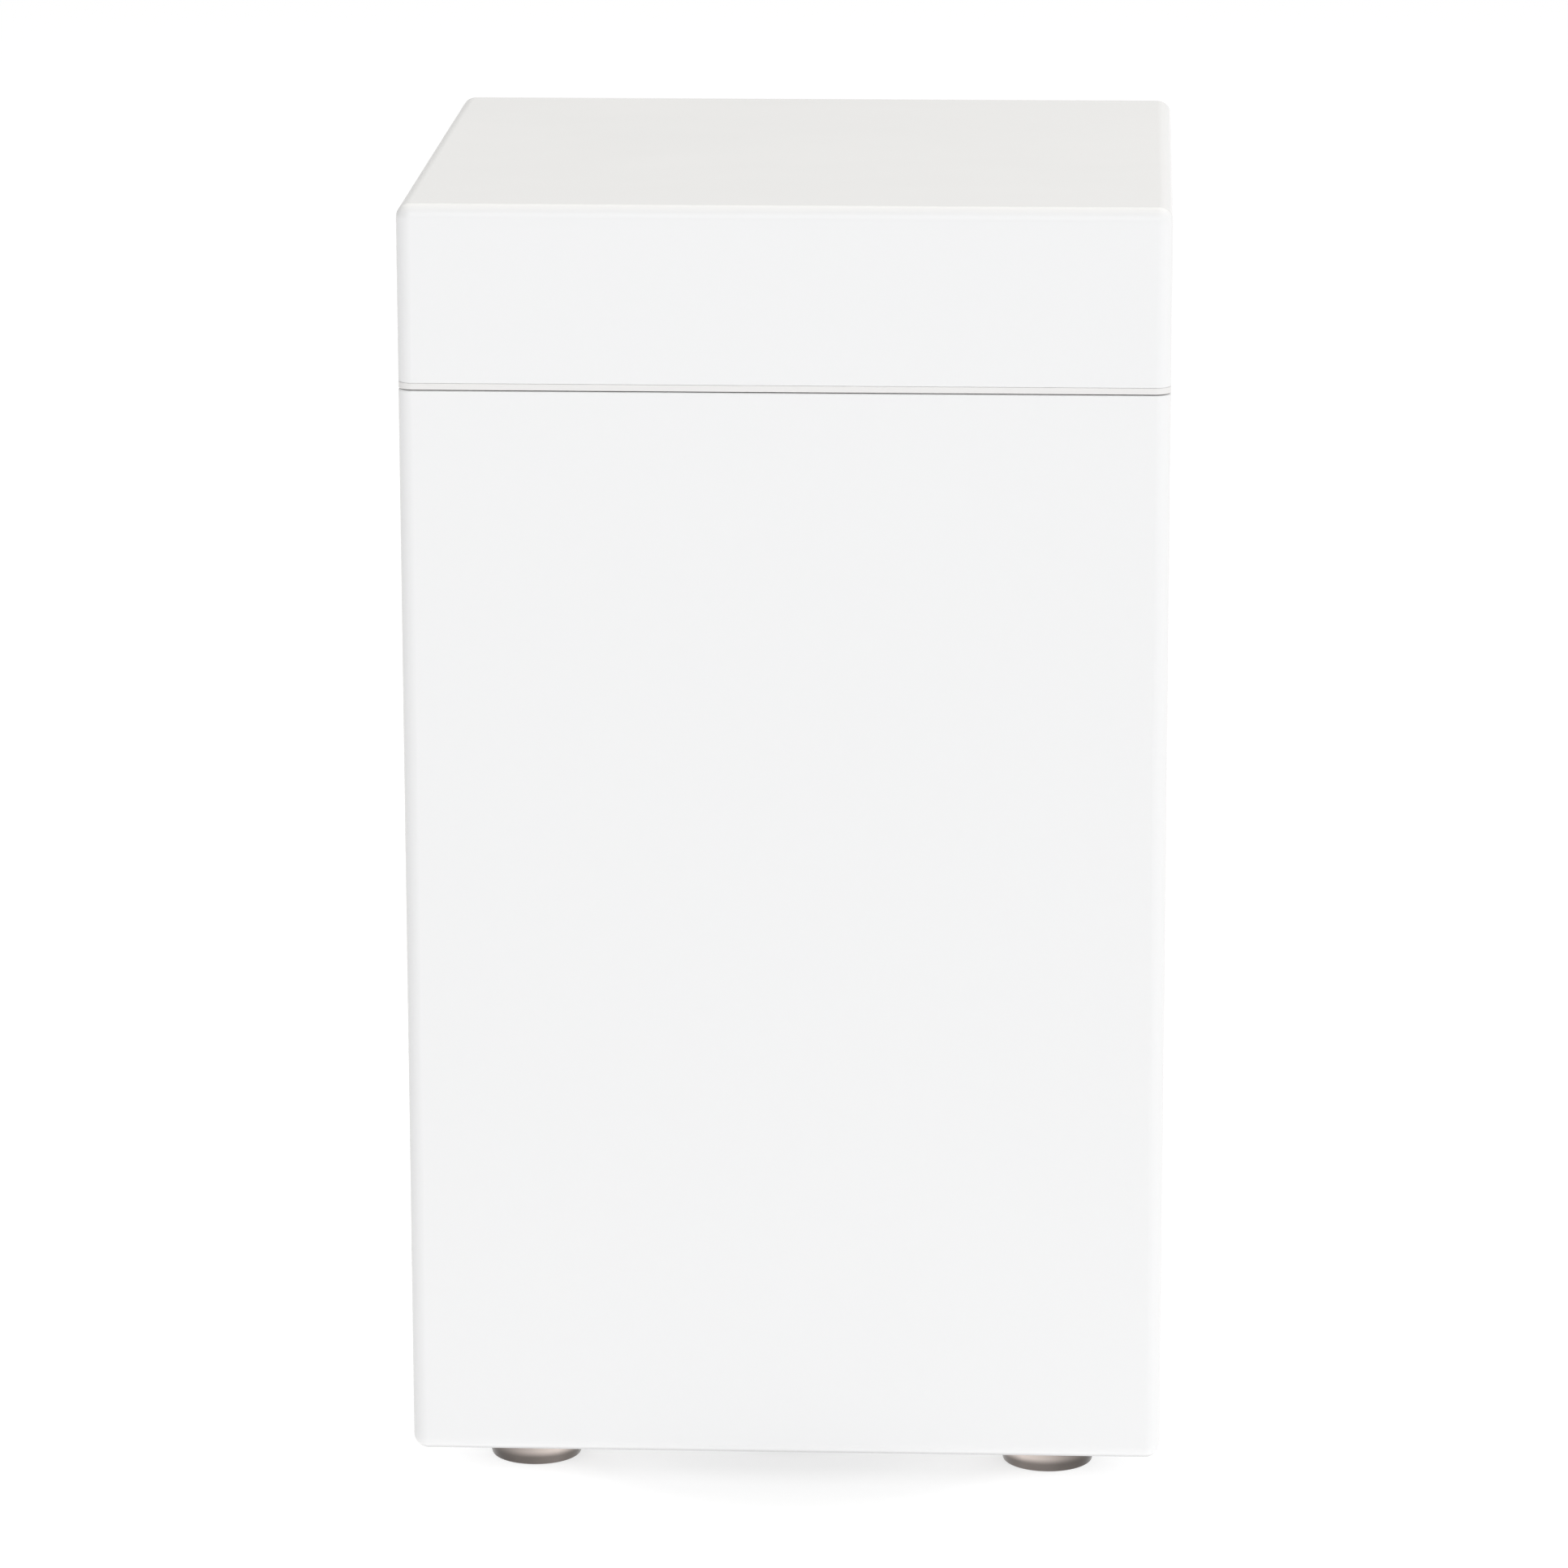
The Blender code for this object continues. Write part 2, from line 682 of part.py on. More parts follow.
def drip_tray():
    shape = pan(-126.6, 126.6, -50, 124, 438.6, 449.6, 1.8, 1.8, 4)
    add("drip_tray", "clear_plastic", shape, (0, -50, 438.6))


def shelves():
    for name, low in (("shelf_lower", 209.8), ("shelf_upper", 340.8)):
        add(name, "glass", loft([outline(-162.4, 162.4, -72, 145, z, 4) for z in (low, low + 4)]))


def cabin_lamp():
    housing = box(156.4, 163.6, -100, -50, 500, 540)
    add("light_housing", "white_plastic", housing)
    lens = loft(
        [
            [(x, y, z) for y, z in outline(-98 + d, -52 - d, 502 + d, 538 - d, 0, 5)[:, :2]]
            for x, d in ((156.0, 0), (152.5, 0), (150.0, 3))
        ]
    )
    add("light_lens", "clear_plastic", lens)


# Cooling machine


def compressor():
    profile = [(0, 37), (38, 37), (49, 44), (54, 57), (54, 118), (49, 136), (34, 147), (0, 151)]
    body = lathe(profile, COMPRESSOR_X, COMPRESSOR_Y, 36)
    obj = add("compressor", "black_enamel", body)
    feet = loft([outline(-112, 12, 68, 180, z, 8) for z in (36, 39)])
    unite(obj, feet)


def compressor_mounts():
    number = 0
    for y in (76, 172):
        for x in (-104, 4):
            number += 1
            profile = [(0, 27), (9, 27), (9, 30), (7, 31.5), (9, 33), (9, 35.6), (0, 35.6)]
            add("compressor_mount_%d" % number, "rubber", lathe(profile, x, y, 20))


def relay_cover():
    shape = loft([outline(7, 34, 106, 142, z, 4) for z in (70, 116)])
    add("relay_cover", "black_plastic", shape)


def drain_pan():
    add("drain_pan", "grey_plastic", pan(-104, 4, 70, 178, 152, 166, 2, 2, 10))


def filter_drier():
    profile = [(0, 62), (2, 62), (2, 68), (8, 76), (8, 134), (2, 142), (2, 148), (0, 148)]
    add("filter_drier", "copper", lathe(profile, 125, 172, 20))


def refrigerant_pipes():
    start = (COMPRESSOR_X + 0.766 * 54.6, COMPRESSOR_Y - 0.643 * 54.6, 60)
    out = (COMPRESSOR_X + 0.766 * 80, COMPRESSOR_Y - 0.643 * 80, 60)
    path = [start, out, (150, 72.6, 60), (150, COIL_Y, 60), (150, COIL_Y, 149.4)]
    add("discharge_pipe", "copper", tube(path, 2.2, 12))
    path = [(-120, 130.6, 500), (-120, COIL_Y, 500), (-120, COIL_Y, 120), (-120, 165, 80)]
    path += [(-50, 184.0, 80), (-50, 178.6, 80)]
    add("suction_pipe", "copper", tube(path, 2.2, 4))
    path = [(125, 172, 61.6), (125, 172, 47), (60, COIL_Y, 47), (-134, COIL_Y, 47)]
    path += [(-134, COIL_Y, 500), (-134, 131, 500)]
    add("capillary_tube", "copper", tube(path, 1.0, 4, 6))


def condenser_coil():
    path = [(150, COIL_Y, 150), (150, COIL_Y, 570), (-95, COIL_Y, 570)]
    for row in range(1, 10):
        z = 570 - 34 * row
        ends = (-95, 125) if row % 2 else (125, -95)
        path += [(ends[0], COIL_Y, z), (ends[1], COIL_Y, z)]
    path += [(125, COIL_Y, 164), (125, 172, 160), (125, 172, 148.6)]
    add("condenser_coil", "copper", tube(path, 1.8, 16, 6, 3))


def power_inlet():
    shape = pan(46, 76, 60, 84, 166, BACK_Y, 2.4, 2.4, 3)
    obj = add("power_inlet", "black_plastic", turn(shape, (0, 2, 1)))
    pins = [box(x - 1, x + 1, 167, 184, z - 2, z + 2) for x, z in ((54, 70), (61, 75), (68, 70))]
    unite(obj, join(*pins))


# Feet


def feet():
    profile = [(0, 0), (21.6, 0), (24.2, 1.2), (27.8, 15.6), (28.6, 17.0), (28.6, 21.6), (27.6, 22.6)]
    profile += [(STEM_R, 22.6), (STEM_R, 40), (0, 40)]
    for row, y in (("front", FOOT_FRONT_Y), ("rear", FOOT_REAR_Y)):
        for side, sx in (("left", -1), ("right", 1)):
            shape = lathe(profile, sx * FOOT_X, y, 40)
            add("foot_%s_%s" % (row, side), "satin_metal", shape, (sx * FOOT_X, y, 0))


def main():
    for obj in list(bpy.data.objects):
        bpy.data.objects.remove(obj, do_unlink=True)
    for make in (
        cabinet_wrap, base_plate, back_panel, compressor_cover, insulation, compressor_shroud,
        inner_liner, top_deck, control_console, thermostat, thermostat_knob, thermostat_capillary,
        indicator_lens, power_rocker, serving_tray, lid_shell, lid_rim, lid_liner, lid_hinges,
        door_skin, door_foam, door_grip, door_liner, door_gasket, door_bins, door_hinges,
        ice_box, ice_box_flap, drip_tray, shelves, cabin_lamp, compressor, compressor_mounts,
        relay_cover, drain_pan, filter_drier, refrigerant_pipes, condenser_coil, power_inlet, feet,
    ):
        make()


main()
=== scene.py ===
"""Mini fridge: the visible pieces and their finishes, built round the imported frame, in metres."""

import json
import math

import bmesh
import bpy
import numpy as np
from bpy.props import FloatProperty, FloatVectorProperty, PointerProperty
from mathutils import Matrix, Vector


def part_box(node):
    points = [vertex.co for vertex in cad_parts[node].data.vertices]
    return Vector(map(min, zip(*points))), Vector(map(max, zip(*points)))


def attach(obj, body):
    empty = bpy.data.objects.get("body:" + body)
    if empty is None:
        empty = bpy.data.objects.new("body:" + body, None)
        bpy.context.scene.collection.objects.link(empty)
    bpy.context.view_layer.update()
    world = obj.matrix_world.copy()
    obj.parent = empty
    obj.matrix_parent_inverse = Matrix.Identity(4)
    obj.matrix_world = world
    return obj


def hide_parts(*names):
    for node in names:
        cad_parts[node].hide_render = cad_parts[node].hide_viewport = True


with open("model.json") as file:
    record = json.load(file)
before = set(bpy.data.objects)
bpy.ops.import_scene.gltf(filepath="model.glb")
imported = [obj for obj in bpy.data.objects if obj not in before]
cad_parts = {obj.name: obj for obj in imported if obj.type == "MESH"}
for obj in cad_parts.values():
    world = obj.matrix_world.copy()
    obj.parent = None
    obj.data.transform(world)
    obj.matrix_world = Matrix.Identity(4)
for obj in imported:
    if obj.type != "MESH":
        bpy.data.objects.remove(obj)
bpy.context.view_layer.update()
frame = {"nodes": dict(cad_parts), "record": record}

bl_info = {
    "name": "Mini fridge",
    "version": (1, 0, 0),
    "blender": (4, 5, 0),
    "location": "View3D > Sidebar > Fridge",
    "description": "Builds the visible pieces of a small white fridge",
    "category": "Object",
}

SHEET = 0.0012  # thickness of the casing's sheet metal
CLEARANCE = 0.0004  # gap left round an inset part


# Settings a user would change


class CasingSettings(bpy.types.PropertyGroup):
    corner: FloatProperty(
        name="Corner radius", description="Radius of the upright edges",
        default=0.0082, min=0.003, unit="LENGTH",
    )
    top_edge: FloatProperty(
        name="Top edge radius", description="Radius of the edge round the lid's top",
        default=0.0073, min=0.003, unit="LENGTH",
    )
    bottom_edge: FloatProperty(
        name="Bottom edge radius", description="Radius of the edge along the door's foot",
        default=0.0078, min=0.003, unit="LENGTH",
    )
    seam_edge: FloatProperty(
        name="Seam edge radius", description="Radius of the door's edge along the seam",
        default=0.0008, min=0.0005, unit="LENGTH",
    )
    colour: FloatVectorProperty(
        name="Enamel", description="Colour of the gloss enamel on the lid, door and sides",
        default=(0.875, 0.875, 0.878), min=0.0, max=1.0, size=3, subtype="COLOR",
    )
    inside: FloatVectorProperty(
        name="Lining", description="Colour of the white plastic inside",
        default=(0.84, 0.845, 0.84), min=0.0, max=1.0, size=3, subtype="COLOR",
    )


class FootSettings(bpy.types.PropertyGroup):
    sole: FloatProperty(
        name="Sole radius", description="Radius of the foot where it meets the floor",
        default=0.0242, min=0.01, unit="LENGTH",
    )
    crown: FloatProperty(
        name="Crown radius", description="Radius of the foot under the cabinet",
        default=0.0286, min=0.01, unit="LENGTH",
    )
    colour: FloatVectorProperty(
        name="Metal", description="Colour of the turned metal",
        default=(0.445, 0.394, 0.366), min=0.0, max=1.0, size=3, subtype="COLOR",
    )


class StageSettings(bpy.types.PropertyGroup):
    left: FloatProperty(
        name="Room light, left", description="Brightness of the room at the left",
        default=0.2, min=0.0,
    )
    right: FloatProperty(
        name="Room light, right", description="Brightness of the room at the right",
        default=0.84, min=0.0,
    )
    key: FloatProperty(
        name="Front light", description="Power of the large soft light before the fridge",
        default=48.5, min=0.0, subtype="POWER",
    )
    over: FloatProperty(
        name="Overhead light", description="Power of the warm soft light above the fridge",
        default=56.0, min=0.0, subtype="POWER",
    )
    side: FloatProperty(
        name="Side lights", description="Power of each small light at the sides",
        default=2.0, min=0.0, subtype="POWER",
    )
    floor: FloatVectorProperty(
        name="Floor", description="Colour of the floor",
        default=(0.38, 0.38, 0.38), min=0.0, max=1.0, size=3, subtype="COLOR",
    )


class FridgeSettings(bpy.types.PropertyGroup):
    casing: PointerProperty(type=CasingSettings)
    foot: PointerProperty(type=FootSettings)
    stage: PointerProperty(type=StageSettings)


# Surfaces


def outline(x0, x1, y0, y1, radii, steps=8):
    """Rounded rectangle: a quarter circle at each corner, in the order front left, front right,
    back right, back left, with the straight sides left between them."""
    turn = np.linspace(0.0, np.pi / 2, steps + 1)
    angle = np.pi * np.array([1.0, 1.5, 0.0, 0.5])[:, None] + turn
    radius = np.broadcast_to(np.asarray(radii, float), 4)[:, None]
    x = np.array([x0, x1, x1, x0])[:, None] + radius * np.array([1, -1, -1, 1])[:, None]
    y = np.array([y0, y0, y1, y1])[:, None] + radius * np.array([1, 1, -1, -1])[:, None]
    return np.stack([x + radius * np.cos(angle), y + radius * np.sin(angle)], -1).reshape(-1, 2)


def arc(cx, cy, radius, start, end, steps):
    """Arc of a circle as (steps + 1, 2) points, angles in degrees."""
    angle = np.radians(np.linspace(start, end, steps + 1))
    return np.column_stack([cx + radius * np.cos(angle), cy + radius * np.sin(angle)])


def joined(*paths):
    return np.vstack(paths)


def skin(rows, looped=False):
    """Quads between neighbouring rows of a (v, u, 3) grid, closed round u: with an end cap on the
    first and last rows, or with the last row joined to the first."""
    rows = np.asarray(rows, float)
    count, size = rows.shape[:2]
    index = np.arange(count * size).reshape(count, size)
    low = index if looped else index[:-1]
    high = np.roll(index, -1, 0) if looped else index[1:]
    quads = np.stack([low, np.roll(low, -1, 1), np.roll(high, -1, 1), high], -1)
    faces = quads.reshape(-1, 4).tolist()
    if not looped:
        faces += [index[0][::-1].tolist(), index[-1].tolist()]
    return rows.reshape(-1, 3), faces


def ring(low, high, inset, z, radii, steps):
    """Rounded plan of the box from low to high, drawn in by inset, at height z."""
    flat = outline(low.x + inset, high.x - inset, low.y + inset, high.y - inset, radii, steps)
    return np.insert(flat, 2, z, axis=1)


def slab(x0, x1, y0, y1, radius, levels, steps, looped=False):
    """Rounded rectangle in plan, drawn in by the inset and put at the height of each level."""
    rows = [
        np.insert(outline(x0 + d, x1 - d, y0 + d, y1 - d, radius, steps), 2, z, axis=1)
        for d, z in levels
    ]
    return skin(rows, looped)


def plaque(x0, x1, z0, z1, radius, levels, steps=6, looped=False):
    """Rounded rectangle standing in the x-z plane, with a row at the inset and y of each level."""
    rows = []
    for inset, y in levels:
        reach = max(radius - inset, 0.0003)
        flat = outline(x0 + inset, x1 - inset, z0 + inset, z1 - inset, reach, steps)
        rows.append(np.insert(flat, 1, y, axis=1))
    return skin(rows, looped)


def carried(profile, axis, low, high):
    """Closed outline carried straight along an axis, with a flat cap at each end."""
    profile = np.asarray(profile, float)
    return skin([np.insert(profile, axis, value, axis=1) for value in (low, high)])


def turned(profile, x=0.0, y=0.0, steps=96, looped=False):
    """Surface of revolution: each (radius, height) of the profile goes round an upright axis at
    (x, y)."""
    profile = np.asarray(profile, float)
    angle = np.linspace(0.0, 2 * np.pi, steps, endpoint=False)
    radius = profile[:, :1]
    height = np.broadcast_to(profile[:, 1:], (len(profile), steps))
    rows = np.stack([x + radius * np.cos(angle), y + radius * np.sin(angle), height], -1)
    return skin(rows, looped)


def rod(radius, x0, x1, y, z, edge, bore=0.0):
    """Rod along x, or a sleeve round a bore, with both outer ends rounded over."""
    section = joined(
        [(bore, x0)],
        arc(radius - edge, x0 + edge, edge, -90, 0, 3),
        arc(radius - edge, x1 - edge, edge, 0, 90, 3),
        [(bore, x1)],
    )
    points, faces = turned(section, steps=32, looped=bore > 0.0)
    return points[:, [2, 0, 1]] + (0.0, y, z), faces


def thread(low, high, crest, root, turns):
    """Zigzag between crest and root radius at even steps of height, as (radius, height) points."""
    height = np.linspace(low, high, 2 * turns + 1)
    return np.column_stack([np.where(np.arange(len(height)) % 2, crest, root), height])


def channel(first, last, open_end, closed_end, radius, start):
    """Section of a sheet folded into a U: from the open end of the first leg round both corners,
    which begin at the start angle, and back along the inner face."""
    across, up = np.sign(last - first), np.sign(open_end - closed_end)
    middle = closed_end + up * radius
    faces = [
        joined(
            [(first + across * inset, open_end)],
            arc(first + across * radius, middle, radius - inset, start, start + 90, 10),
            arc(last - across * radius, middle, radius - inset, start + 90, start + 180, 10),
            [(last - across * inset, open_end)],
        )
        for inset in (0.0, SHEET)
    ]
    return joined(faces[0], faces[1][::-1])


def grown_box(node, across, radius):
    """Opening for an inset part: its height and its width across, with a clearance all round."""
    low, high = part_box(node)
    return outline(
        low[across] - CLEARANCE, high[across] + CLEARANCE, low.z - CLEARANCE, high.z + CLEARANCE,
        radius, 5,
    )


def merged(*shapes):
    """Several closed shapes as one set of points and faces."""
    starts = np.cumsum([0] + [len(points) for points, _ in shapes[:-1]]).tolist()
    faces = [[i + start for i in face] for (_, more), start in zip(shapes, starts) for face in more]
    return np.concatenate([points for points, _ in shapes]), faces


# Objects


def linked(name, data):
    obj = bpy.data.objects.new(name, data)
    bpy.context.scene.collection.objects.link(obj)
    return obj


def new_mesh(name, shape):
    """Mesh of points and faces, merged and turned outwards."""
    points, faces = shape
    mesh = bpy.data.meshes.new(name)
    mesh.from_pydata(np.asarray(points).tolist(), [], faces)
    return cleaned(mesh, lambda work: bmesh.ops.recalc_face_normals(work, faces=work.faces))


def cleaned(mesh, change):
    """The mesh with its doubles merged, then changed."""
    work = bmesh.new()
    work.from_mesh(mesh)
    bmesh.ops.remove_doubles(work, verts=work.verts, dist=1e-6)
    change(work)
    work.to_mesh(mesh)
    work.free()
    return mesh


def piece(name, shape, material, body, node, bevel=0.0, angle=30.0):
    """One finished piece, riding on its body in place of its CAD node."""
    finished(new_mesh(name, shape), material, body, node, bevel, angle)


def finished(mesh, material, body, node, bevel=0.0, angle=30.0):
    """Object of a mesh: smooth but for its sharp edges, an optional small bevel, and normals led
    by the large faces."""
    mesh.materials.clear()
    mesh.materials.append(material)
    mesh.shade_smooth()
    mesh.set_sharp_from_angle(angle=math.radians(angle))
    obj = linked(mesh.name, mesh)
    if bevel:
        edge = obj.modifiers.new("edge", "BEVEL")
        edge.width = bevel
        edge.segments = 3
        edge.limit_method = "ANGLE"
        edge.angle_limit = math.radians(angle)
        edge.harden_normals = False
    obj.modifiers.new("even", "WEIGHTED_NORMAL").keep_sharp = True
    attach(obj, body)
    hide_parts(node)


def carve(shape, *tools):
    """Shape with each tool cut from it, as points and faces."""
    return combined("DIFFERENCE", shape, tools)


def fused(shape, *tools):
    """Shape made one with each tool."""
    return combined("UNION", shape, tools)


def combined(operation, shape, tools):
    body = linked("body", new_mesh("body", shape))
    for tool in tools:
        other = linked("tool", new_mesh("tool", tool))
        cut = body.modifiers.new("cut", "BOOLEAN")
        cut.operation = operation
        cut.solver = "EXACT"
        cut.object = other
        bpy.context.view_layer.update()
        graph = bpy.context.evaluated_depsgraph_get()
        result = bpy.data.meshes.new_from_object(body.evaluated_get(graph))
        body.modifiers.clear()
        before, body.data = body.data, result
        bpy.data.meshes.remove(before)
        bpy.data.meshes.remove(other.data)
    mesh = body.data
    points = np.empty(len(mesh.vertices) * 3)
    mesh.vertices.foreach_get("co", points)
    faces = [list(face.vertices) for face in mesh.polygons]
    bpy.data.meshes.remove(mesh)
    return points.reshape(-1, 3), faces


# Finishes


def feed(node, inputs):
    """Give each input of a shader node its value, or the socket that drives it."""
    for name, value in inputs.items():
        if isinstance(value, bpy.types.NodeSocket):
            node.id_data.links.new(value, node.inputs[name])
        else:
            node.inputs[name].default_value = value


def add(tree, kind, inputs=None, **settings):
    """New shader node with its settings and its inputs."""
    node = tree.nodes.new("ShaderNode" + kind)
    for name, value in settings.items():
        setattr(node, name, value)
    feed(node, inputs or {})
    return node


def grey_stops(node, levels):
    """Grey levels of a colour ramp, as (position, level) in rising order."""
    stops = node.color_ramp.elements
    for position, _ in levels[2:]:
        stops.new(position)
    for stop, (position, level) in zip(stops, levels):
        stop.position = position
        stop.color = (level, level, level, 1.0)


def finish(
    name, colour, roughness, vary=0.02, patch=6.0, grain=400.0, stretch=(1.0, 1.0, 1.0),
    bump=0.03, spread=0.04, metallic=0.0, coat=0.0, specular=0.5, transmission=0.0, cells=False,
):
    """Procedural surface: broad patches shift the colour and gloss a little, and a fine grain, or
    cells, gives relief."""
    found = bpy.data.materials.get(name)
    if found:
        return found
    material = bpy.data.materials.new(name)
    material.use_nodes = True
    tree = material.node_tree
    place = add(tree, "TexCoord", name="place").outputs["Object"]
    turn = add(tree, "Mapping", {"Vector": place, "Scale": stretch}).outputs["Vector"]
    patches = {"Vector": turn, "Scale": patch, "Detail": 4.0}
    broad = add(tree, "TexNoise", patches, name="broad").outputs["Fac"]
    dark, light = (
        (*[min(1.0, c * scale) for c in colour], 1.0) for scale in (1 - vary, 1 + vary)
    )
    shades = {"Factor": broad, "A": dark, "B": light}
    tint = add(tree, "Mix", shades, data_type="RGBA", name="tint").outputs["Result"]
    span = {"From Min": 0.3, "From Max": 0.7}
    span |= {"To Min": max(0.02, roughness - spread), "To Max": roughness + spread}
    gloss = add(tree, "MapRange", {"Value": broad, **span}).outputs["Result"]
    fine = {"Vector": turn, "Scale": grain}
    if cells:
        height = add(tree, "TexVoronoi", fine).outputs["Distance"]
    else:
        height = add(tree, "TexNoise", {**fine, "Detail": 2.0}).outputs["Fac"]
    relief = {"Height": height, "Strength": bump, "Distance": 0.0002}
    values = {
        "Base Color": tint,
        "Roughness": gloss,
        "Normal": add(tree, "Bump", relief, name="relief").outputs["Normal"],
        "Metallic": metallic,
        "Specular IOR Level": specular,
        "Coat Weight": coat,
        "Coat Roughness": 0.06,
        "Transmission Weight": transmission,
    }
    feed(tree.nodes["Principled BSDF"], values)
    return material


def enamel(settings):
    """Gloss enamel with painted shade: its colour falls to half over the last 4 mm down to the
    door's foot edge, on its front, standing in for the shade under that edge."""
    gloss = finish(
        "gloss_enamel", settings.casing.colour, 0.20, 0.006, 3.0, 300.0, bump=0.02, specular=0.35
    )
    tree = gloss.node_tree
    if "painted_foot_shade" in tree.nodes:
        return gloss
    front, foot_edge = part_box("door_skin")[0].yz
    place = add(tree, "SeparateXYZ", {"Vector": tree.nodes["place"].outputs["Object"]}).outputs
    # Painted shade: the colour is scaled down to half near the foot edge, only on the front
    # rounding.
    span = {"From Min": foot_edge - 0.0003, "From Max": foot_edge + 0.0035, "To Min": 0.50}
    span["Value"] = place["Z"]
    painted_foot_shade = add(tree, "MapRange", span, interpolation_type="SMOOTHSTEP", name="painted_foot_shade")
    span = {"From Min": front + 0.0050, "From Max": front + 0.0078}
    behind = add(tree, "MapRange", {"Value": place["Y"], **span})
    both = {0: painted_foot_shade.outputs["Result"], 1: behind.outputs["Result"]}
    most = add(tree, "Math", both, operation="MAXIMUM")
    scaled = {"Vector": tree.nodes["tint"].outputs["Result"], "Scale": most.outputs["Value"]}
    shade = add(tree, "VectorMath", scaled, operation="SCALE")
    feed(tree.nodes["Principled BSDF"], {"Base Color": shade.outputs["Vector"]})
    return gloss


def lining(settings):
    return finish(
        "white_lining", settings.casing.inside, 0.34, 0.008, 5.0, 1200.0, bump=0.05, spread=0.03
    )


def grey_moulding():
    return finish("grey_moulding", (0.30, 0.31, 0.32), 0.5, 0.04, 10.0, 1400.0, bump=0.12)


def foot_metal(foot):
    """Turned metal: fine rings from the tool, and a painted reflection: the colour is lightest on
    the side towards the middle of the fridge and above 8 mm, and falls away smoothly outwards and,
    as painted shade, down to the sole."""
    metal = finish(
        "turned_metal", foot.colour, 0.22, 0.85, 55.0, 6.0, (3.0, 3.0, 500.0), 0.10, metallic=1.0
    )
    tree = metal.node_tree
    place = tree.nodes["place"].outputs["Object"]
    broad = tree.nodes["broad"]
    feed(broad, {"Detail": 1.0, "Vector": place})
    # Painted reflection and shade: brightness from the distance to the fridge's middle line and
    # from the height drives the colour mix.
    split = add(tree, "SeparateXYZ", {"Vector": place}).outputs
    out = add(tree, "Math", {0: split["X"]}, operation="ABSOLUTE").outputs["Value"]
    across = add(tree, "MapRange", {"Value": out, "From Min": 0.116, "From Max": 0.174})
    painted_reflection_ramp = add(tree, "ValToRGB", {"Fac": across.outputs["Result"]})
    grey_stops(painted_reflection_ramp, ((0.0, 0.60), (0.17, 1.0), (0.42, 0.60), (0.64, 0.25), (0.82, 0.0)))
    span = {"From Min": 0.0040, "From Max": 0.0085, "To Min": 0.18}
    painted_shade_to_sole = add(tree, "MapRange", {"Value": split["Z"], **span}, interpolation_type="SMOOTHSTEP")
    both = {0: painted_reflection_ramp.outputs["Color"], 1: painted_shade_to_sole.outputs["Result"]}
    painted_reflection = add(tree, "Math", both, operation="MULTIPLY").outputs["Value"]
    mix = add(tree, "Mix", {"Factor": 0.12, "A": painted_reflection, "B": broad.outputs["Fac"]})
    feed(tree.nodes["tint"], {"Factor": mix.outputs["Result"]})
    return metal


def ice_metal():
    """Sheet metal with raised channels: bands of a sine across y, flattened on top."""
    sheet = finish(
        "ice_sheet", (0.80, 0.81, 0.82), 0.34, 0.03, 12.0, 40.0, (1, 20, 1), 0.05, metallic=1.0
    )
    tree = sheet.node_tree
    bands = {"Vector": tree.nodes["place"].outputs["Object"], "Scale": 9.0}
    wave = add(tree, "TexWave", bands, bands_direction="Y").outputs["Fac"]
    span = {"Value": wave, "From Min": 0.72, "From Max": 0.88}
    clip = add(tree, "MapRange", span, interpolation_type="SMOOTHSTEP").outputs["Result"]
    relief = {"Height": clip, "Normal": tree.nodes["relief"].outputs["Normal"]}
    channels = add(tree, "Bump", {**relief, "Strength": 0.6, "Distance": 0.0012})
    feed(tree.nodes["Principled BSDF"], {"Normal": channels.outputs["Normal"]})
    return sheet


def slot_finish(slot):
    """Finish of each material slot that carried-over nodes use: colour, roughness and the rest."""
    white = (0.875, 0.875, 0.878)
    metal = dict(spread=0.03, metallic=1.0)
    kinds = {
        "white_gloss": (white, 0.20, {}),
        "white_lid": (white, 0.20, {}),
        "white_plastic": ((0.84, 0.845, 0.84), 0.34, dict(grain=1200.0, spread=0.03)),
        "clear_plastic": ((0.95, 0.97, 0.975), 0.14, dict(transmission=0.85)),
        "grey_plastic": ((0.30, 0.31, 0.32), 0.50, dict(grain=1400.0, bump=0.12)),
        "black_plastic": ((0.03, 0.03, 0.03), 0.40, dict(vary=0.1, grain=1400.0, bump=0.10)),
        "rubber": ((0.05, 0.05, 0.05), 0.75, dict(vary=0.1, grain=1800.0, bump=0.15)),
        "gasket": ((0.74, 0.74, 0.73), 0.55, {}),
        "foam": ((0.82, 0.77, 0.60), 0.9, dict(vary=0.06, grain=500.0, bump=0.5, cells=True)),
        "satin_metal": ((0.60, 0.58, 0.55), 0.33, metal),
        "zinc": ((0.62, 0.64, 0.66), 0.38, dict(vary=0.10, patch=60.0, grain=90.0, metallic=1.0)),
        "aluminium": ((0.80, 0.81, 0.82), 0.34, dict(metallic=1.0)),
        "copper": ((0.78, 0.40, 0.25), 0.33, dict(vary=0.16, patch=40.0, **metal)),
        "black_enamel": ((0.02, 0.02, 0.022), 0.22, dict(vary=0.1, grain=350.0, coat=0.5)),
        "glass": ((0.86, 0.95, 0.93), 0.05, dict(spread=0.02, transmission=0.92)),
        "indicator": ((0.10, 0.62, 0.24), 0.22, dict(transmission=0.3)),
    }
    colour, roughness, rest = kinds[slot]
    return finish("frame_" + slot, colour, roughness, **rest)


# Pieces

FEET = [(row, side) for row in ("front", "rear") for side in ("left", "right")]


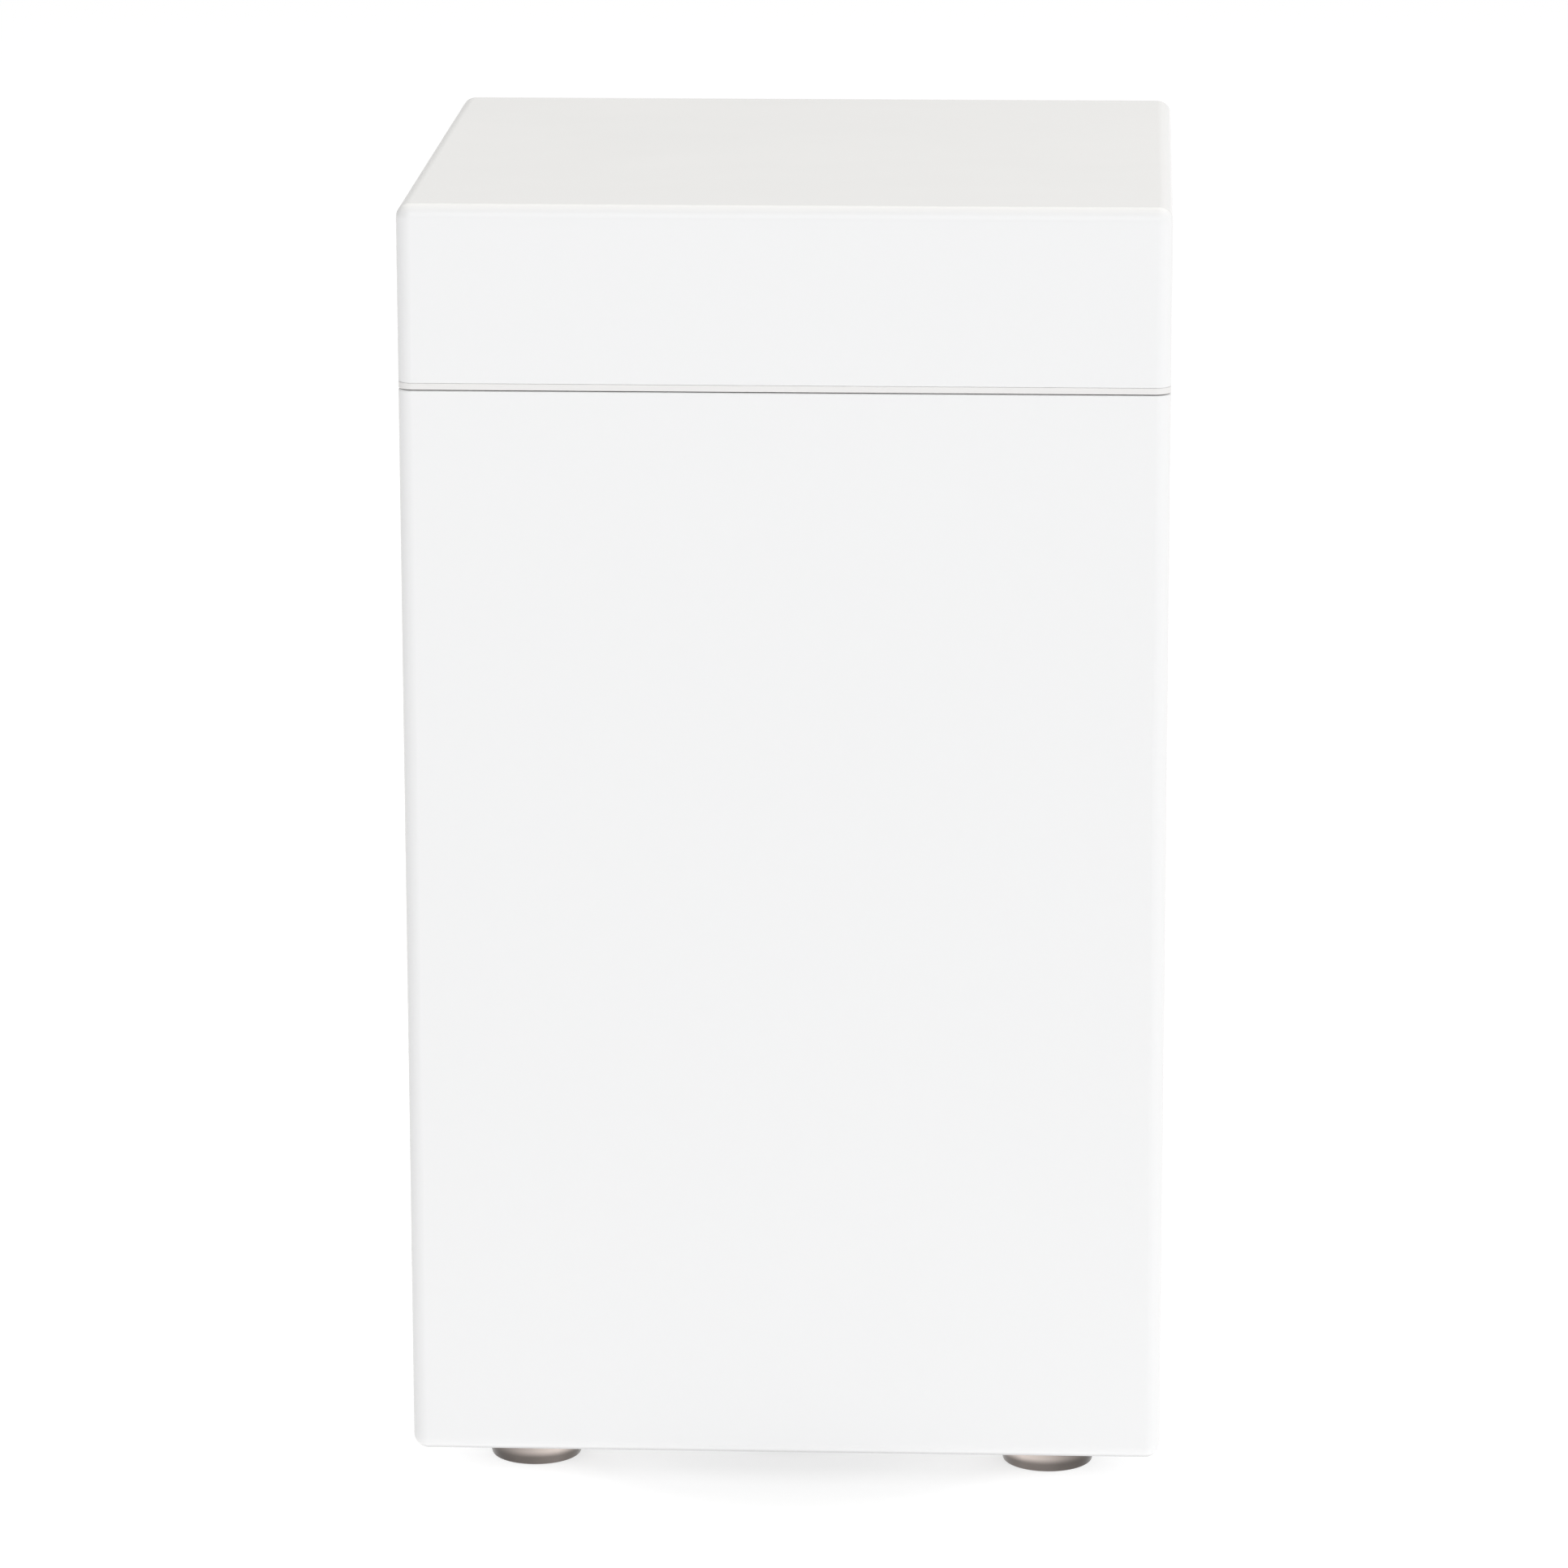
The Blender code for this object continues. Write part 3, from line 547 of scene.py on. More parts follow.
class FRIDGE_OT_lid(bpy.types.Operator):
    """Lid shell: rounded plans drawn in along a quarter circle at the top edge, and back inside"""

    bl_idname = "fridge.lid"
    bl_label = "Lid"

    def execute(self, context):
        settings = context.scene.fridge
        radius, corner = settings.casing.top_edge, settings.casing.corner
        low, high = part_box("lid_shell")
        wall, foot = 0.0026, low.z - 0.0005
        roof, inner = high.z - wall, radius - wall
        outside = joined(
            [(0.0002, foot), (0.0, foot + 0.0003)],
            arc(radius, high.z - radius, radius, 180, 90, 12),
        )
        inside = joined([(wall, foot)], arc(radius, roof - inner, inner, 180, 90, 6))
        rows = [
            ring(low, high, d, z, max(corner - d, 0.0006), 10)
            for d, z in joined(outside[::-1], inside)
        ]
        piece("lid_top", skin(rows), enamel(settings), "lid", "lid_shell")
        return {"FINISHED"}


class FRIDGE_OT_rim(bpy.types.Operator):
    """Lid rim: one closed section carried round the outline, with a soft lower edge and a tongue"""

    bl_idname = "fridge.rim"
    bl_label = "Lid rim"

    def execute(self, context):
        corner = context.scene.fridge.casing.corner
        low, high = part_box("lid_rim")
        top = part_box("lid_shell")[0].z - 0.0006
        lip, bead = low.z - 0.0008, low.z - 0.0004
        section = joined(
            [(0.0060, low.z), (0.0048, lip), (0.0022, lip), (0.0017, bead)],
            arc(0.0006, bead + 0.0006, 0.0006, 270, 180, 5),
            arc(0.0003, top - 0.0003, 0.0003, 180, 90, 3),
            [(0.0030, top), (0.0030, high.z), (0.0052, high.z), (0.0060, top)],
        )
        rows = [ring(low, high, d, z, max(corner - d, 0.0006), 10) for d, z in section]
        plastic = finish(
            "rim_plastic", (0.83, 0.82, 0.81), 0.33, 0.01, 8.0, 900.0, bump=0.04, spread=0.03
        )
        shape = skin(rows, looped=True)
        piece("lid_edge_rim", shape, plastic, "lid", "lid_rim")
        return {"FINISHED"}


class FRIDGE_OT_door(bpy.types.Operator):
    """Door skin: plans drawn in along quarter circles at the foot and the seam, then hollowed"""

    bl_idname = "fridge.door"
    bl_label = "Door"

    def execute(self, context):
        settings = context.scene.fridge
        casing = settings.casing
        low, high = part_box("door_skin")

        def solid(inset, back, foot, head):
            corner, bottom, top = casing.corner - inset, low.z + inset, high.z - inset
            edge = joined(
                arc(foot, bottom + foot, foot, 270, 180, 12),
                arc(head, top - head, head, 180, 90, 5),
            )
            rows = []
            for draw, z in edge:
                near, far = max(corner - draw, 0.0004), 0.0003
                flat = outline(
                    low.x + inset + draw, high.x - inset - draw, low.y + inset + draw, back,
                    (near, near, far, far), 10,
                )
                rows.append(np.insert(flat, 2, z, axis=1))
            return skin(rows)

        opening = grown_box("door_grip", 1, 0.0034)
        pin_x, pin_y, pin_hole = 0.188, -0.180, 0.0036
        holes = [
            turned([(pin_hole, z), (pin_hole, z + 0.03)], pin_x, pin_y, 24)
            for z in (low.z - 0.01, high.z - 0.02)
        ]
        shape = carve(
            solid(0.0, high.y, casing.bottom_edge, casing.seam_edge),
            solid(SHEET, high.y + 0.01, casing.bottom_edge - SHEET, 0.0004),
            carried(opening, 0, low.x - 0.01, low.x + 0.01),
            *holes,
        )
        piece("door_front", shape, enamel(settings), "door", "door_skin")
        return {"FINISHED"}


class FRIDGE_OT_sides(bpy.types.Operator):
    """Cabinet wrap: a U of sheet metal in section, carried from front to back"""

    bl_idname = "fridge.sides"
    bl_label = "Cabinet sides"

    def execute(self, context):
        settings = context.scene.fridge
        low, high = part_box("cabinet_wrap")
        section = channel(low.x, high.x, high.z, low.z, settings.casing.bottom_edge, 180)
        stem_hole = 0.0046
        holes = []
        for row, side in FEET:
            x, y, _ = sum(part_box("foot_%s_%s" % (row, side)), Vector()) / 2
            holes.append(turned([(stem_hole, 0.018), (stem_hole, 0.028)], x, y, 24))
        shape = carve(carried(section, 1, low.y, high.y), *holes)
        piece("cabinet_sides", shape, enamel(settings), "cabinet", "cabinet_wrap")
        return {"FINISHED"}


class FRIDGE_OT_feet(bpy.types.Operator):
    """Levelling feet: a turned cone that widens upwards, a short band and a threaded stem"""

    bl_idname = "fridge.feet"
    bl_label = "Feet"

    def execute(self, context):
        foot = context.scene.fridge.foot
        metal = foot_metal(foot)
        for row, side in FEET:
            node = "foot_%s_%s" % (row, side)
            low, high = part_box(node)
            middle = (low + high) / 2
            band = high.z - 0.0174
            profile = joined(
                [(0.0, 0.0), (foot.sole - 0.0030, 0.0)],
                arc(foot.sole - 0.0012, 0.0014, 0.0014, -80, -14, 5),
                arc(foot.crown - 0.0030, 0.0166, 0.0030, -14, 0, 4),
                arc(foot.crown - 0.0010, band - 0.0010, 0.0010, 0, 90, 4),
                [(0.0042, band)],
                thread(band + 0.0006, high.z - 0.0008, 0.0040, 0.0035, 14),
                [(0.0030, high.z), (0.0, high.z)],
            )
            shape = turned(profile, middle.x, middle.y)
            body = "%s_%s_foot" % (row, side)
            piece("turned_foot_%s_%s" % (row, side), shape, metal, body, node)
        return {"FINISHED"}


class FRIDGE_OT_back(bpy.types.Operator):
    """Back panel and machine cover: a sheet bent forward round both rear corners, carried up"""

    bl_idname = "fridge.back"
    bl_label = "Back"

    def execute(self, context):
        settings = context.scene.fridge
        corner, face = settings.casing.corner, 0.1899
        low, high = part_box("back_panel")
        panel = carried(channel(high.x, low.x, low.y, high.y, corner, 0), 2, low.z, high.z)
        bead = [(0.0, face), (0.0012, 0.1906), (0.0030, 0.1909), (0.0050, 0.1906), (0.0062, face)]
        bead += [(0.0062, face - 0.0006), (0.0, face - 0.0006)]
        raised = plaque(-0.165, 0.165, low.z + 0.03, high.z - 0.05, 0.012, bead, looped=True)
        shape = merged(panel, raised)
        piece("rear_sheet", shape, lining(settings), "cabinet", "back_panel")

        low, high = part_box("compressor_cover")
        cover = carried(channel(high.x, low.x, low.y, high.y, corner, 0), 2, low.z, high.z)
        slots = [
            carried(outline(-0.150, 0.020, z, z + 0.005, 0.0025, 6), 1, 0.18, 0.20)
            for z in np.arange(0.062, 0.160, 0.013)
        ]
        port = grown_box("power_inlet", 0, 0.003)
        shape = carve(cover, merged(*slots), carried(port, 1, 0.18, 0.20))
        screws = screw_heads([(x, face, z) for z in (0.160, 0.036) for x in (-0.186, 0.186)])
        shape, grey = merged(shape, screws), grey_moulding()
        piece("machine_cover", shape, grey, "cabinet", "compressor_cover")
        return {"FINISHED"}


def screw_heads(places):
    """Pan heads facing back: a low dome of revolution about y at each place."""
    rise = arc(0.0026, 0.0, 0.0010, 0, 90, 4)
    dome = joined([(0.0, -0.0004), (0.0036, -0.0004)], rise, [(0.0, 0.0010)])
    points, faces = turned(dome, steps=24)
    return merged(*[(points[:, [0, 2, 1]] + place, faces) for place in places])


class FRIDGE_OT_hinges(bpy.types.Operator):
    """Lid hinges: rounded leaves, knuckles turned about the lid's axis, the pin, and screws"""

    bl_idname = "fridge.hinges"
    bl_label = "Lid hinges"

    def execute(self, context):
        metal = finish(
            "hinge_steel", (0.60, 0.59, 0.57), 0.33, 0.05, 20.0, 60.0, (1, 1, 12), 0.06,
            spread=0.03, metallic=1.0,
        )
        y, z = 0.1954, 0.601
        back, face = 0.1903, 0.1919
        half, middle, pin, knuckle = 0.025, 0.012, 0.0021, 0.0046
        leaf = [(0.0, back), (0.0, face - 0.0003), (0.0003, face)]
        for side, x in (("left", -0.115), ("right", 0.115)):
            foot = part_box("lid_hinge_" + side)[0].z
            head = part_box("lid_wing_" + side)[1].z
            ends = [(x - half, x - middle - 0.0006), (x + middle + 0.0006, x + half)]
            fixed = [
                plaque(x - half, x + half, foot, 0.5955, 0.004, leaf),
                rod(pin, x - half - 0.0015, x + half + 0.0015, y, z, 0.0004),
            ]
            fixed += [plaque(a, b, 0.594, z, 0.0004, leaf[:2]) for a, b in ends]
            fixed += [rod(knuckle, a, b, y, z, 0.0005) for a, b in ends]
            fixed.append(screw_heads([(x + dx, face, 0.578) for dx in (-0.016, 0.0, 0.016)]))
            name, node = "hinge_plate_" + side, "lid_hinge_" + side
            piece(name, merged(*fixed), metal, "cabinet", node)
            wing = [
                plaque(x - half, x + half, 0.6075, head, 0.004, leaf),
                plaque(x - middle, x + middle, z, 0.609, 0.0004, leaf[:2]),
                rod(knuckle, x - middle, x + middle, y, z, 0.0005, bore=0.0024),
                screw_heads([(x + dx, face, 0.624) for dx in (-0.016, 0.0, 0.016)]),
            ]
            name, node = "hinge_wing_" + side, "lid_wing_" + side
            piece(name, merged(*wing), metal, "lid", node)
        return {"FINISHED"}


class FRIDGE_OT_door_inside(bpy.types.Operator):
    """Door lining with two soft uprights and their pegs, and the folded gasket round its outline"""

    bl_idname = "fridge.door_inside"
    bl_label = "Door inside"

    def execute(self, context):
        settings = context.scene.fridge
        white = lining(settings)
        low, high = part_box("door_liner")
        face, tip, bend = -0.1584, -0.1130, 0.0030
        plate = [(0, low.y), (0, face - 0.0006), (0.0006, face)]
        panel = [(0.0, face - 0.0003), (0.0006, face + 0.0008), (0.0020, face + 0.0012)]
        upright = joined(
            [(-bend, face - 0.0008)],
            arc(-bend, face - 0.0002 + bend, bend, -90, 0, 6),
            arc(bend, tip, bend, 180, 90, 6),
        )
        parts = [
            plaque(low.x, high.x, low.z, high.z, 0.0062, plate),
            plaque(-0.128, 0.128, 0.074, 0.536, 0.012, panel),
        ]
        for sign in (-1, 1):
            x0, x1 = sorted((sign * 0.136, sign * 0.148))
            parts.append(plaque(x0, x1, 0.070, 0.540, bend, upright))
            x0, x1 = sorted((sign * 0.1306, sign * 0.137))
            parts += [rod(0.004, x0, x1, -0.125, z, 0.0008) for z in (0.104, 0.354)]
        piece("door_lining", merged(*parts), white, "door", "door_liner")

        low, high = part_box("door_gasket")
        width = 0.015
        fold = [(0.0008, 0.0), (0.0, 0.0010), (0.0012, 0.0024), (0.0002, 0.0040)]
        fold += [(0.0014, 0.0056), (0.0004, 0.0070), (0.0006, 0.0080), (0.0014, 0.0086)]
        fold += [(width - d, y) for d, y in fold[::-1]]
        levels = [(d, low.y + y) for d, y in fold]
        shape = plaque(low.x, high.x, low.z, high.z, 0.006, levels, looped=True)
        rubber = finish("gasket_rubber", (0.74, 0.74, 0.73), 0.55, 0.03, 30.0, 900.0, bump=0.05)
        piece("door_seal", shape, rubber, "door", "door_gasket", angle=50)

        low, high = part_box("door_grip")
        wall, mouth, back = 0.0016, low.x, high.x
        cup = [(0.0006, back), (0.0, back - 0.0010), (0.0, mouth + 0.0006), (0.0006, mouth)]
        cup += [(wall, mouth), (wall, back - 0.0036), (0.0036, back - wall)]
        rows = []
        for inset, x in cup:
            flat = outline(
                low.y + inset, high.y - inset, low.z + inset, high.z - inset,
                max(0.003 - inset, 0.0008), 6,
            )
            rows.append(np.insert(flat, 0, x, axis=1))
        piece("grip_cup", skin(rows), white, "door", "door_grip")
        return {"FINISHED"}


class FRIDGE_OT_cavity(bpy.types.Operator):
    """Cold space: the stepped side outline, drawn in at both side walls, cut from a shell"""

    bl_idname = "fridge.cavity"
    bl_label = "Cold space"

    def execute(self, context):
        low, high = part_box("inner_liner")
        wall, side, front, radius = 0.0016, 0.164, low.y, 0.008
        corners = np.array(
            [
                (-0.175, 0.060), (0.026, 0.060), (0.026, 0.205),
                (0.150, 0.205), (0.150, 0.556), (-0.175, 0.556),
            ]
        )
        grown = corners + np.array([(0, -1), (1, -1), (1, -1), (1, -1), (1, 1), (0, 1)]) * wall
        grown[[0, 5], 0] = front + 0.0006
        outer = carried(grown, 0, -side - wall, side + wall)
        levels = [(0, front + 0.0015), (0, front + 0.0004), (0.0004, front)]
        flange = plaque(low.x, high.x, low.z, high.z, 0.0062, levels)
        edge = arc(radius, side - radius, radius, 90, 180, 6)
        levels = joined(edge * (1, -1), edge[::-1])
        hollow = skin([np.insert(stepped(corners, d, radius), 0, x, axis=1) for d, x in levels])
        duct = carried(outline(-0.141, -0.113, 0.494, 0.506, 0.002, 4), 1, 0.14, 0.19)
        tube_hole = turned([(0.003, 0.54), (0.003, 0.598)], 0.080, 0.138, 20)
        parts = [carve(fused(outer, flange), hollow, duct, tube_hole)]
        for z in (0.2094, 0.3404):
            ledge = [(0.0, z - 0.004), (0.0, z - 0.0006), (0.0006, z)]
            for x0, x1 in ((0.158, 0.1646), (-0.1646, -0.158)):
                parts.append(slab(x0, x1, -0.070, 0.140, 0.001, ledge, 3))
        white = lining(context.scene.fridge)
        piece("cold_space", merged(*parts), white, "cabinet", "inner_liner")
        return {"FINISHED"}


def stepped(corners, inset, radius, inner=0.003, steps=6):
    """Right-angled outline, each side moved in by inset: every corner becomes a quarter circle,
    turned one way at an outer corner and the other way at an inner one."""
    ahead = np.roll(corners, -1, 0) - corners
    ahead /= np.linalg.norm(ahead, axis=1)[:, None]
    after = np.column_stack([-ahead[:, 1], ahead[:, 0]])
    before = np.roll(after, 1, 0)
    sign = np.sign(before[:, 0] * after[:, 1] - before[:, 1] * after[:, 0])[:, None]
    both = before + after
    size = np.where(sign > 0, max(radius - inset, 0.0004), inner + inset)
    centre = corners + inset * both + sign * size * both
    start = np.arctan2(-sign[:, 0] * before[:, 1], -sign[:, 0] * before[:, 0])[:, None]
    angle = start + sign * np.linspace(0, np.pi / 2, steps + 1)
    arcs = centre[:, None, :] + size[:, :, None] * np.stack([np.cos(angle), np.sin(angle)], -1)
    return arcs.reshape(-1, 2)


class FRIDGE_OT_trays(bpy.types.Operator):
    """Bins, drip tray and serving tray: open vessels with a rounded foot and lip"""

    bl_idname = "fridge.trays"
    bl_label = "Bins and trays"

    def execute(self, context):
        clear, white = slot_finish("clear_plastic"), lining(context.scene.fridge)
        for row, peg in (("lower", 0.104), ("upper", 0.354)):
            node = "door_bin_" + row
            low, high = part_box(node)
            hook = outline(
                -0.1296, -0.1204, low.z - 0.01, peg + 0.0044, (0.0006, 0.0006, 0.0042, 0.0042), 6
            )
            slots = [carried(hook, 0, x0, x1) for x0, x1 in ((0.130, 0.138), (-0.138, -0.130))]
            shape = carve(vessel(low, high, 0.0022, 0.0024, 0.006), *slots)
            piece("bin_" + row, shape, clear, row + "_bin", node)
        shape = vessel(*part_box("drip_tray"), 0.0018, 0.0018, 0.004)
        piece("meltwater_tray", shape, clear, "drip_tray", "drip_tray")
        hold = outline(-0.045, 0.015, 0.600, 0.607, 0.0034, 6)
        holes = [carried(hold, 0, x0, x1) for x0, x1 in ((0.14, 0.17), (-0.17, -0.14))]
        tray = vessel(*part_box("serving_tray"), 0.0022, 0.0024, 0.014, 0.005, 0.004)
        piece("tray", carve(tray, *holes), white, "tray", "serving_tray")
        shape = vessel(*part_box("drain_pan"), 0.002, 0.002, 0.010)
        piece("water_pan", shape, grey_moulding(), "cabinet", "drain_pan")
        return {"FINISHED"}


def vessel(low, high, wall, floor, corner, lean=0.0, foot=0.003):
    """Open-topped vessel between two corners: out along a rounded foot, up a leaning wall, over
    the lip and back down inside to a rounded floor."""
    inner = max(foot - wall / 2, 0.001)
    section = joined(
        arc(lean + foot, low.z + foot, foot, 270, 180, 5),
        arc(wall / 2, high.z - wall / 2, wall / 2, 180, 0, 6),
        arc(lean + wall + inner, low.z + floor + inner, inner, 180, 270, 5),
    )
    return skin([ring(low, high, d, z, max(corner - d + lean, 0.0012), 8) for d, z in section])


class FRIDGE_OT_deck(bpy.types.Operator):
    """Deck under the lid: a shallow vessel with square front corners, and the lid's lining"""

    bl_idname = "fridge.deck"
    bl_label = "Deck"

    def execute(self, context):
        white = lining(context.scene.fridge)
        low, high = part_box("top_deck")
        lip, shoulder, well = 0.001, high.z - 0.001, 0.591
        section = joined(
            [(0.0, low.z)],
            arc(lip, shoulder, lip, 180, 90, 4),
            arc(2 * lip, shoulder, lip, 90, 0, 4),
            arc(0.006, well + 0.003, 0.003, 180, 270, 4),
        )
        rows = []
        for inset, z in section:
            near, far = max(0.0010, 0.0012 - inset), max(0.0066 - inset, 0.0016)
            rows.append(ring(low, high, inset, z, (near, near, far, far), 6))
        piece("deck", skin(rows), white, "cabinet", "top_deck")

        low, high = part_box("lid_liner")
        edge = 0.0015
        section = joined(
            [(0.0, high.z), (0.0, low.z + edge)],
            arc(edge, low.z + edge, edge, 180, 270, 4),
            [(0.024, low.z), (0.026, low.z + 0.0008), (0.028, low.z + 0.0016)],
        )
        rows = [ring(low, high, d, z, max(0.010 - d * 0.2, 0.004), 6) for d, z in section]
        piece("lid_lining", skin(rows), white, "lid", "lid_liner")
        return {"FINISHED"}


class FRIDGE_OT_controls(bpy.types.Operator):
    """Console with its openings, scale marks and bezel, the ribbed knob and the rocker"""

    bl_idname = "fridge.controls"
    bl_label = "Controls"

    def execute(self, context):
        low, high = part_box("control_console")
        edge, face = 0.0025, 0.6258
        section = joined([(0.0, low.z)], arc(edge, high.z - edge, edge, 180, 90, 6))
        body = skin([ring(low, high, d, z, 0.005 - d / 2, 8) for d, z in section])
        inside = [(0.0, 0.585), (0.0, 0.6236)]
        hollow = slab(-0.1476, 0.1476, 0.1204, 0.1696, 0.0026, inside, 5)
        knob_x, lamp_x, middle, under, over = 0.080, 0.020, 0.145, 0.615, 0.632
        holes = [
            turned([(0.0036, under), (0.0036, over)], knob_x, middle, 28),
            turned([(0.0030, under), (0.0030, over)], lamp_x, middle, 28),
            carried(outline(-0.041, -0.015, 0.130, 0.160, 0.0012, 4), 2, under, over),
        ]
        bezel = [(0, face), (0, 0.6266), (0.0005, 0.6270), (0.0019, 0.6270), (0.0024, face)]
        parts = [carve(body, hollow, *holes)]
        parts.append(slab(-0.0434, -0.0126, 0.1276, 0.1624, 0.0024, bezel, 5, looped=True))
        mark = outline(0.0190, 0.0225, -0.0005, 0.0005, 0.0004, 3)
        for angle in np.radians(np.linspace(-225, 45, 7)):
            flat = mark @ rotation(angle) + (knob_x, middle)
            parts.append(carried(flat, 2, face, 0.6263))
        white = lining(context.scene.fridge)
        piece("console", merged(*parts), white, "cabinet", "control_console")
        self.knob()
        self.rocker()
        return {"FINISHED"}

    def knob(self):
        """Radius falls with height and ripples round the side as a rounded cosine, 24 waves."""
        low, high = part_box("thermostat_knob")
        x, y, _ = (low + high) / 2
        side = joined(
            arc(0.0147, low.z + 0.0008, 0.0008, -90, 0, 4),
            arc(0.0128, high.z - 0.0014, 0.0014, 0, 90, 6),
        )
        ribbed = np.array([0, 0.3, 0.6, 0.9, 1, 1, 0.8, 0.5, 0.2, 0.1, 0, 0])[:, None]
        angle = np.linspace(0.0, 2 * np.pi, 192, endpoint=False)
        wave = 0.5 - 0.5 * np.cos(24 * angle)
        radius = side[:, :1] - 0.0007 * ribbed * wave**2
        height = np.broadcast_to(side[:, 1:], radius.shape)
        rows = np.stack([x + radius * np.cos(angle), y + radius * np.sin(angle), height], -1)
        bore = turned([(0.0034, low.z - 0.004), (0.0034, 0.633)], x, y, 28)
        levels = [(0.0, high.z - 0.0002), (0.0, high.z + 0.0004)]
        pointer = slab(x - 0.0008, x + 0.0008, y - 0.012, y - 0.003, 0.0007, levels, 3)
        shape = merged(carve(skin(rows), bore), pointer)
        grey = finish("knob_plastic", (0.24, 0.25, 0.26), 0.38, 0.03, 20.0, 1500.0, bump=0.06)
        piece("knob", shape, grey, "knob", "thermostat_knob", angle=40)

    def rocker(self):
        """Dished top, a parabola across the rocker, tilted to its pressed side, carried along x."""
        low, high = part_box("power_rocker")
        half = 0.0125
        y = np.linspace(half, -half, 17)
        top = np.column_stack([y, 0.0062 + 0.0018 * (y / half) ** 2])
        foot = [(-0.009, -0.008), (0.009, -0.008), (half, 0.003)]
        section = joined(foot, top, [(-half, 0.003)]) @ rotation(math.radians(-8))
        shape = carried(section + (0.145, 0.622), 0, low.x, high.x)
        black = finish(
            "switch_plastic", (0.025, 0.025, 0.027), 0.32, 0.1, 30.0, 1500.0, bump=0.05
        )
        piece("rocker", shape, black, "rocker", "power_rocker", bevel=0.0004)


def rotation(angle):
    """Matrix that turns rows of flat points by the angle."""
    cos, sin = math.cos(angle), math.sin(angle)
    return np.array([[cos, sin], [-sin, cos]])


class FRIDGE_OT_ice_box(bpy.types.Operator):
    """Ice box: a folded aluminium case open at the front, its hangers, ears and guides, the flap"""

    bl_idname = "fridge.ice_box"
    bl_label = "Ice box"

    def execute(self, context):
        levels = [(0.0, 0.130), (0.0, -0.0546), (0.0004, -0.055), (0.0016, -0.055)]
        levels += [(0.0020, -0.0546), (0.0020, 0.128)]
        parts = [plaque(-0.130, 0.130, 0.452, 0.546, 0.007, levels, 8)]
        hanger = (0.100, 0.112, -0.020, 0.100, 0.545, 0.5556)
        ear = (0.1286, 0.1306, -0.064, -0.050, 0.534, 0.545)
        guide = (0.1274, 0.1294, -0.050, 0.128, 0.436, 0.453)
        runner = (0.1180, 0.1294, -0.050, 0.128, 0.436, 0.438)
        for sign in (-1, 1):
            for near, far, y0, y1, z0, z1 in (hanger, ear, guide, runner):
                x0, x1 = sorted((sign * near, sign * far))
                parts.append(slab(x0, x1, y0, y1, 0.0006, [(0.0, z0), (0.0, z1)], 3))
        piece("ice_case", merged(*parts), ice_metal(), "cabinet", "ice_box")

        half = 0.1278
        plate = [(0.0006, -0.0606), (0.0, -0.0600), (0.0, -0.0584), (0.0006, -0.0578)]
        rib = [(0.0, -0.0604), (0.0004, -0.0612), (0.0014, -0.0614)]
        rib += [(0.0024, -0.0612), (0.0028, -0.0604)]
        tab = [(0.0005, 0.458), (0, 0.4586), (0, 0.4604), (0.0005, 0.461)]
        pull = [
            np.insert(outline(-0.025 + d, 0.025 - d, -0.066 + d, -0.060, 0.002, 4), 2, z, axis=1)
            for d, z in tab
        ]
        shape = merged(
            plaque(-half, half, 0.455, 0.540, 0.003, plate),
            plaque(-0.118, 0.118, 0.466, 0.530, 0.006, rib, looped=True),
            skin(pull),
            rod(0.0026, -half, half, -0.059, 0.541, 0.0004),
            rod(0.0015, -0.1304, 0.1304, -0.059, 0.541, 0.0003),
        )
        piece("flap", shape, slot_finish("clear_plastic"), "flap", "ice_box_flap")
        return {"FINISHED"}


class FRIDGE_OT_fittings(bpy.types.Operator):
    """Small fittings that keep their frame shape: a merged copy of each with its edges softened"""

    bl_idname = "fridge.fittings"
    bl_label = "Fittings"

    def execute(self, context):
        fittings = (
            ("door_hinge_upper", "hinge_bracket_upper", 0.0006, "zinc"),
            ("door_hinge_lower", "hinge_bracket_lower", 0.0006, "zinc"),
            ("light_housing", "lamp_case", 0.0015, "white_plastic"),
            ("light_lens", "lamp_lens", 0.0008, "clear_plastic"),
            ("relay_cover", "relay_case", 0.0015, "black_plastic"),
            ("power_inlet", "mains_inlet", 0.0004, "black_plastic"),
            ("shelf_lower", "glass_shelf_lower", 0.0008, "glass"),
            ("shelf_upper", "glass_shelf_upper", 0.0008, "glass"),
            ("thermostat", "thermostat_case", 0.0008, "grey_plastic"),
            ("compressor_shroud", "machine_sheet", 0.0003, "zinc"),
            ("base_plate", "base_sheet", 0.0004, "zinc"),
        )
        for node, name, width, slot in fittings:
            white = node == "light_housing"
            material = lining(context.scene.fridge) if white else slot_finish(slot)
            finished(merged_copy(node, name), material, "cabinet", node, width)
        return {"FINISHED"}


def merged_copy(node, name):
    """Copy of a CAD node's mesh, with its loose triangles joined and its flat faces made whole."""
    mesh = frame["nodes"][node].data.copy()
    mesh.name = name
    flat = math.radians(1)

    def dissolve(work):
        bmesh.ops.dissolve_limit(work, angle_limit=flat, verts=work.verts, edges=work.edges)

    return cleaned(mesh, dissolve)


class FRIDGE_OT_carried_nodes(bpy.types.Operator):
    """Carried-over nodes: each takes the finish of its material slot"""

    bl_idname = "fridge.carried_nodes"
    bl_label = "Carried-over pieces"

    def execute(self, context):
        slots = {part["node"]: part["material_slot"] for part in frame["record"]["subparts"]}
        for name, node in frame["nodes"].items():
            for place in node.material_slots:
                place.material = slot_finish(slots[name])
        return {"FINISHED"}


# Stage


